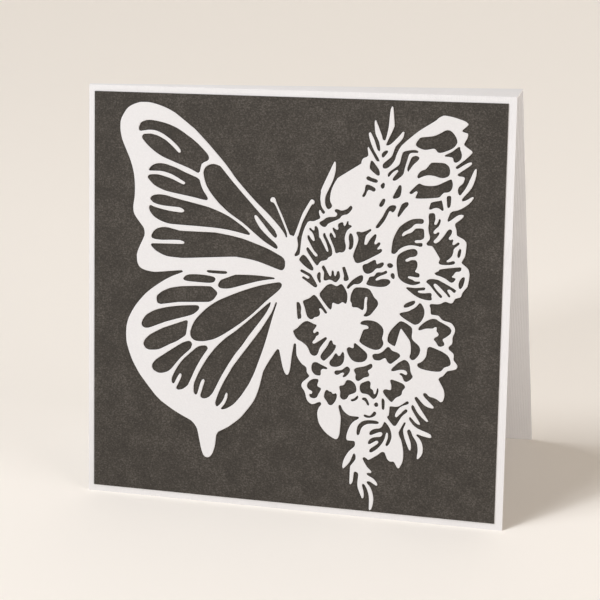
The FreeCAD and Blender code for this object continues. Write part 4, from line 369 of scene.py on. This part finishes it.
def add_daylight(name, place, spread, strength, colour):
    """Shine even daylight from a far window, spread over this angle in radians to soften its shadows."""
    lamp = bpy.data.lights.new(name, "SUN")
    lamp.angle = spread
    lamp.energy = strength
    hang(name, lamp, place, colour)


def add_light():
    """Light the card by a high window at its left, two smaller soft lamps and a pale room."""
    add_daylight("window", (-1.26, -0.60, 2.73), 0.42, 1.38, "#F6F9FF")
    add_lamp("viewer_left", (-0.62, -0.66, 0.54), 0.17, 3.7, "#F6F9FF")
    add_lamp("room_right", (1.0, -0.35, 0.35), 0.7, 4.8, "#FFFAFA")
    world = bpy.data.worlds.new("pale_room")
    world.use_nodes = True
    tree = world.node_tree
    tree.nodes.clear()
    seen = add(tree, "ShaderNodeLightPath")
    room = add(tree, "ShaderNodeBackground", Color=linear("#FFF0DE"), Strength=0.28)
    behind = add(tree, "ShaderNodeBackground", Color=linear(BACKDROP_CREAM), Strength=1.0)
    both = add(tree, "ShaderNodeMixShader", Fac=seen.outputs["Is Camera Ray"],
               _1=room.outputs["Background"], _2=behind.outputs["Background"])
    add(tree, "ShaderNodeOutputWorld", Surface=both.outputs["Shader"])
    bpy.context.scene.world = world


def add_camera():
    """Stand the camera where the photo was taken, turned as solved on the front leaf."""
    turn_x, turn_y, turn_z = CAMERA_TURN
    base = Matrix(((1, 0, 0), (0, 0, -1), (0, 1, 0)))
    tilt = Matrix.Rotation(turn_y, 3, "Y") @ Matrix.Rotation(turn_x, 3, "X")
    look = Matrix.Rotation(turn_z, 3, "Z") @ tilt @ base
    flip = Matrix(((1, 0, 0), (0, -1, 0), (0, 0, -1)))
    on_leaf = Matrix.Translation(Vector(CAMERA_ON_LEAF) * MM) @ (flip @ look).transposed().to_4x4()
    lens = bpy.data.cameras.new("camera")
    lens.sensor_width = SENSOR_WIDTH
    lens.lens = FOCAL_PIXELS / IMAGE_PIXELS * SENSOR_WIDTH
    lens.clip_start = 0.05
    lens.clip_end = 30
    camera = bpy.data.objects.new("camera", lens)
    camera.matrix_world = leaf_to_world() @ on_leaf
    bpy.context.scene.collection.objects.link(camera)
    bpy.context.scene.camera = camera


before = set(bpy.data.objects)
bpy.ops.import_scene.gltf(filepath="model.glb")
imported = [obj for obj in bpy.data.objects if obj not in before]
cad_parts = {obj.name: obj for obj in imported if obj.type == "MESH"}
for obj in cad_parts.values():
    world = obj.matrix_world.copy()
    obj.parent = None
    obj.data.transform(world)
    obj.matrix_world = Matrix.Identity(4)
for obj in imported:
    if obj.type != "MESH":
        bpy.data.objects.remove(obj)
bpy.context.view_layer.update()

dressed_sheet("folded_card", "card_sheet", CARD_EDGE_ROUND, laid_card())
dressed_sheet("dark_mat", "mat_sheet", MAT_EDGE_ROUND, fibre_paper())
butterfly = die_cut("butterfly", "die_cut_butterfly", BUTTERFLY_THICK, CUT_EDGE_ROUND, RIM_SPACING)
paint(butterfly, smooth_card())
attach(butterfly, "root")
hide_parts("butterfly")

add_floor()
add_light()
add_camera()
bpy.context.scene.view_settings.view_transform = "Standard"
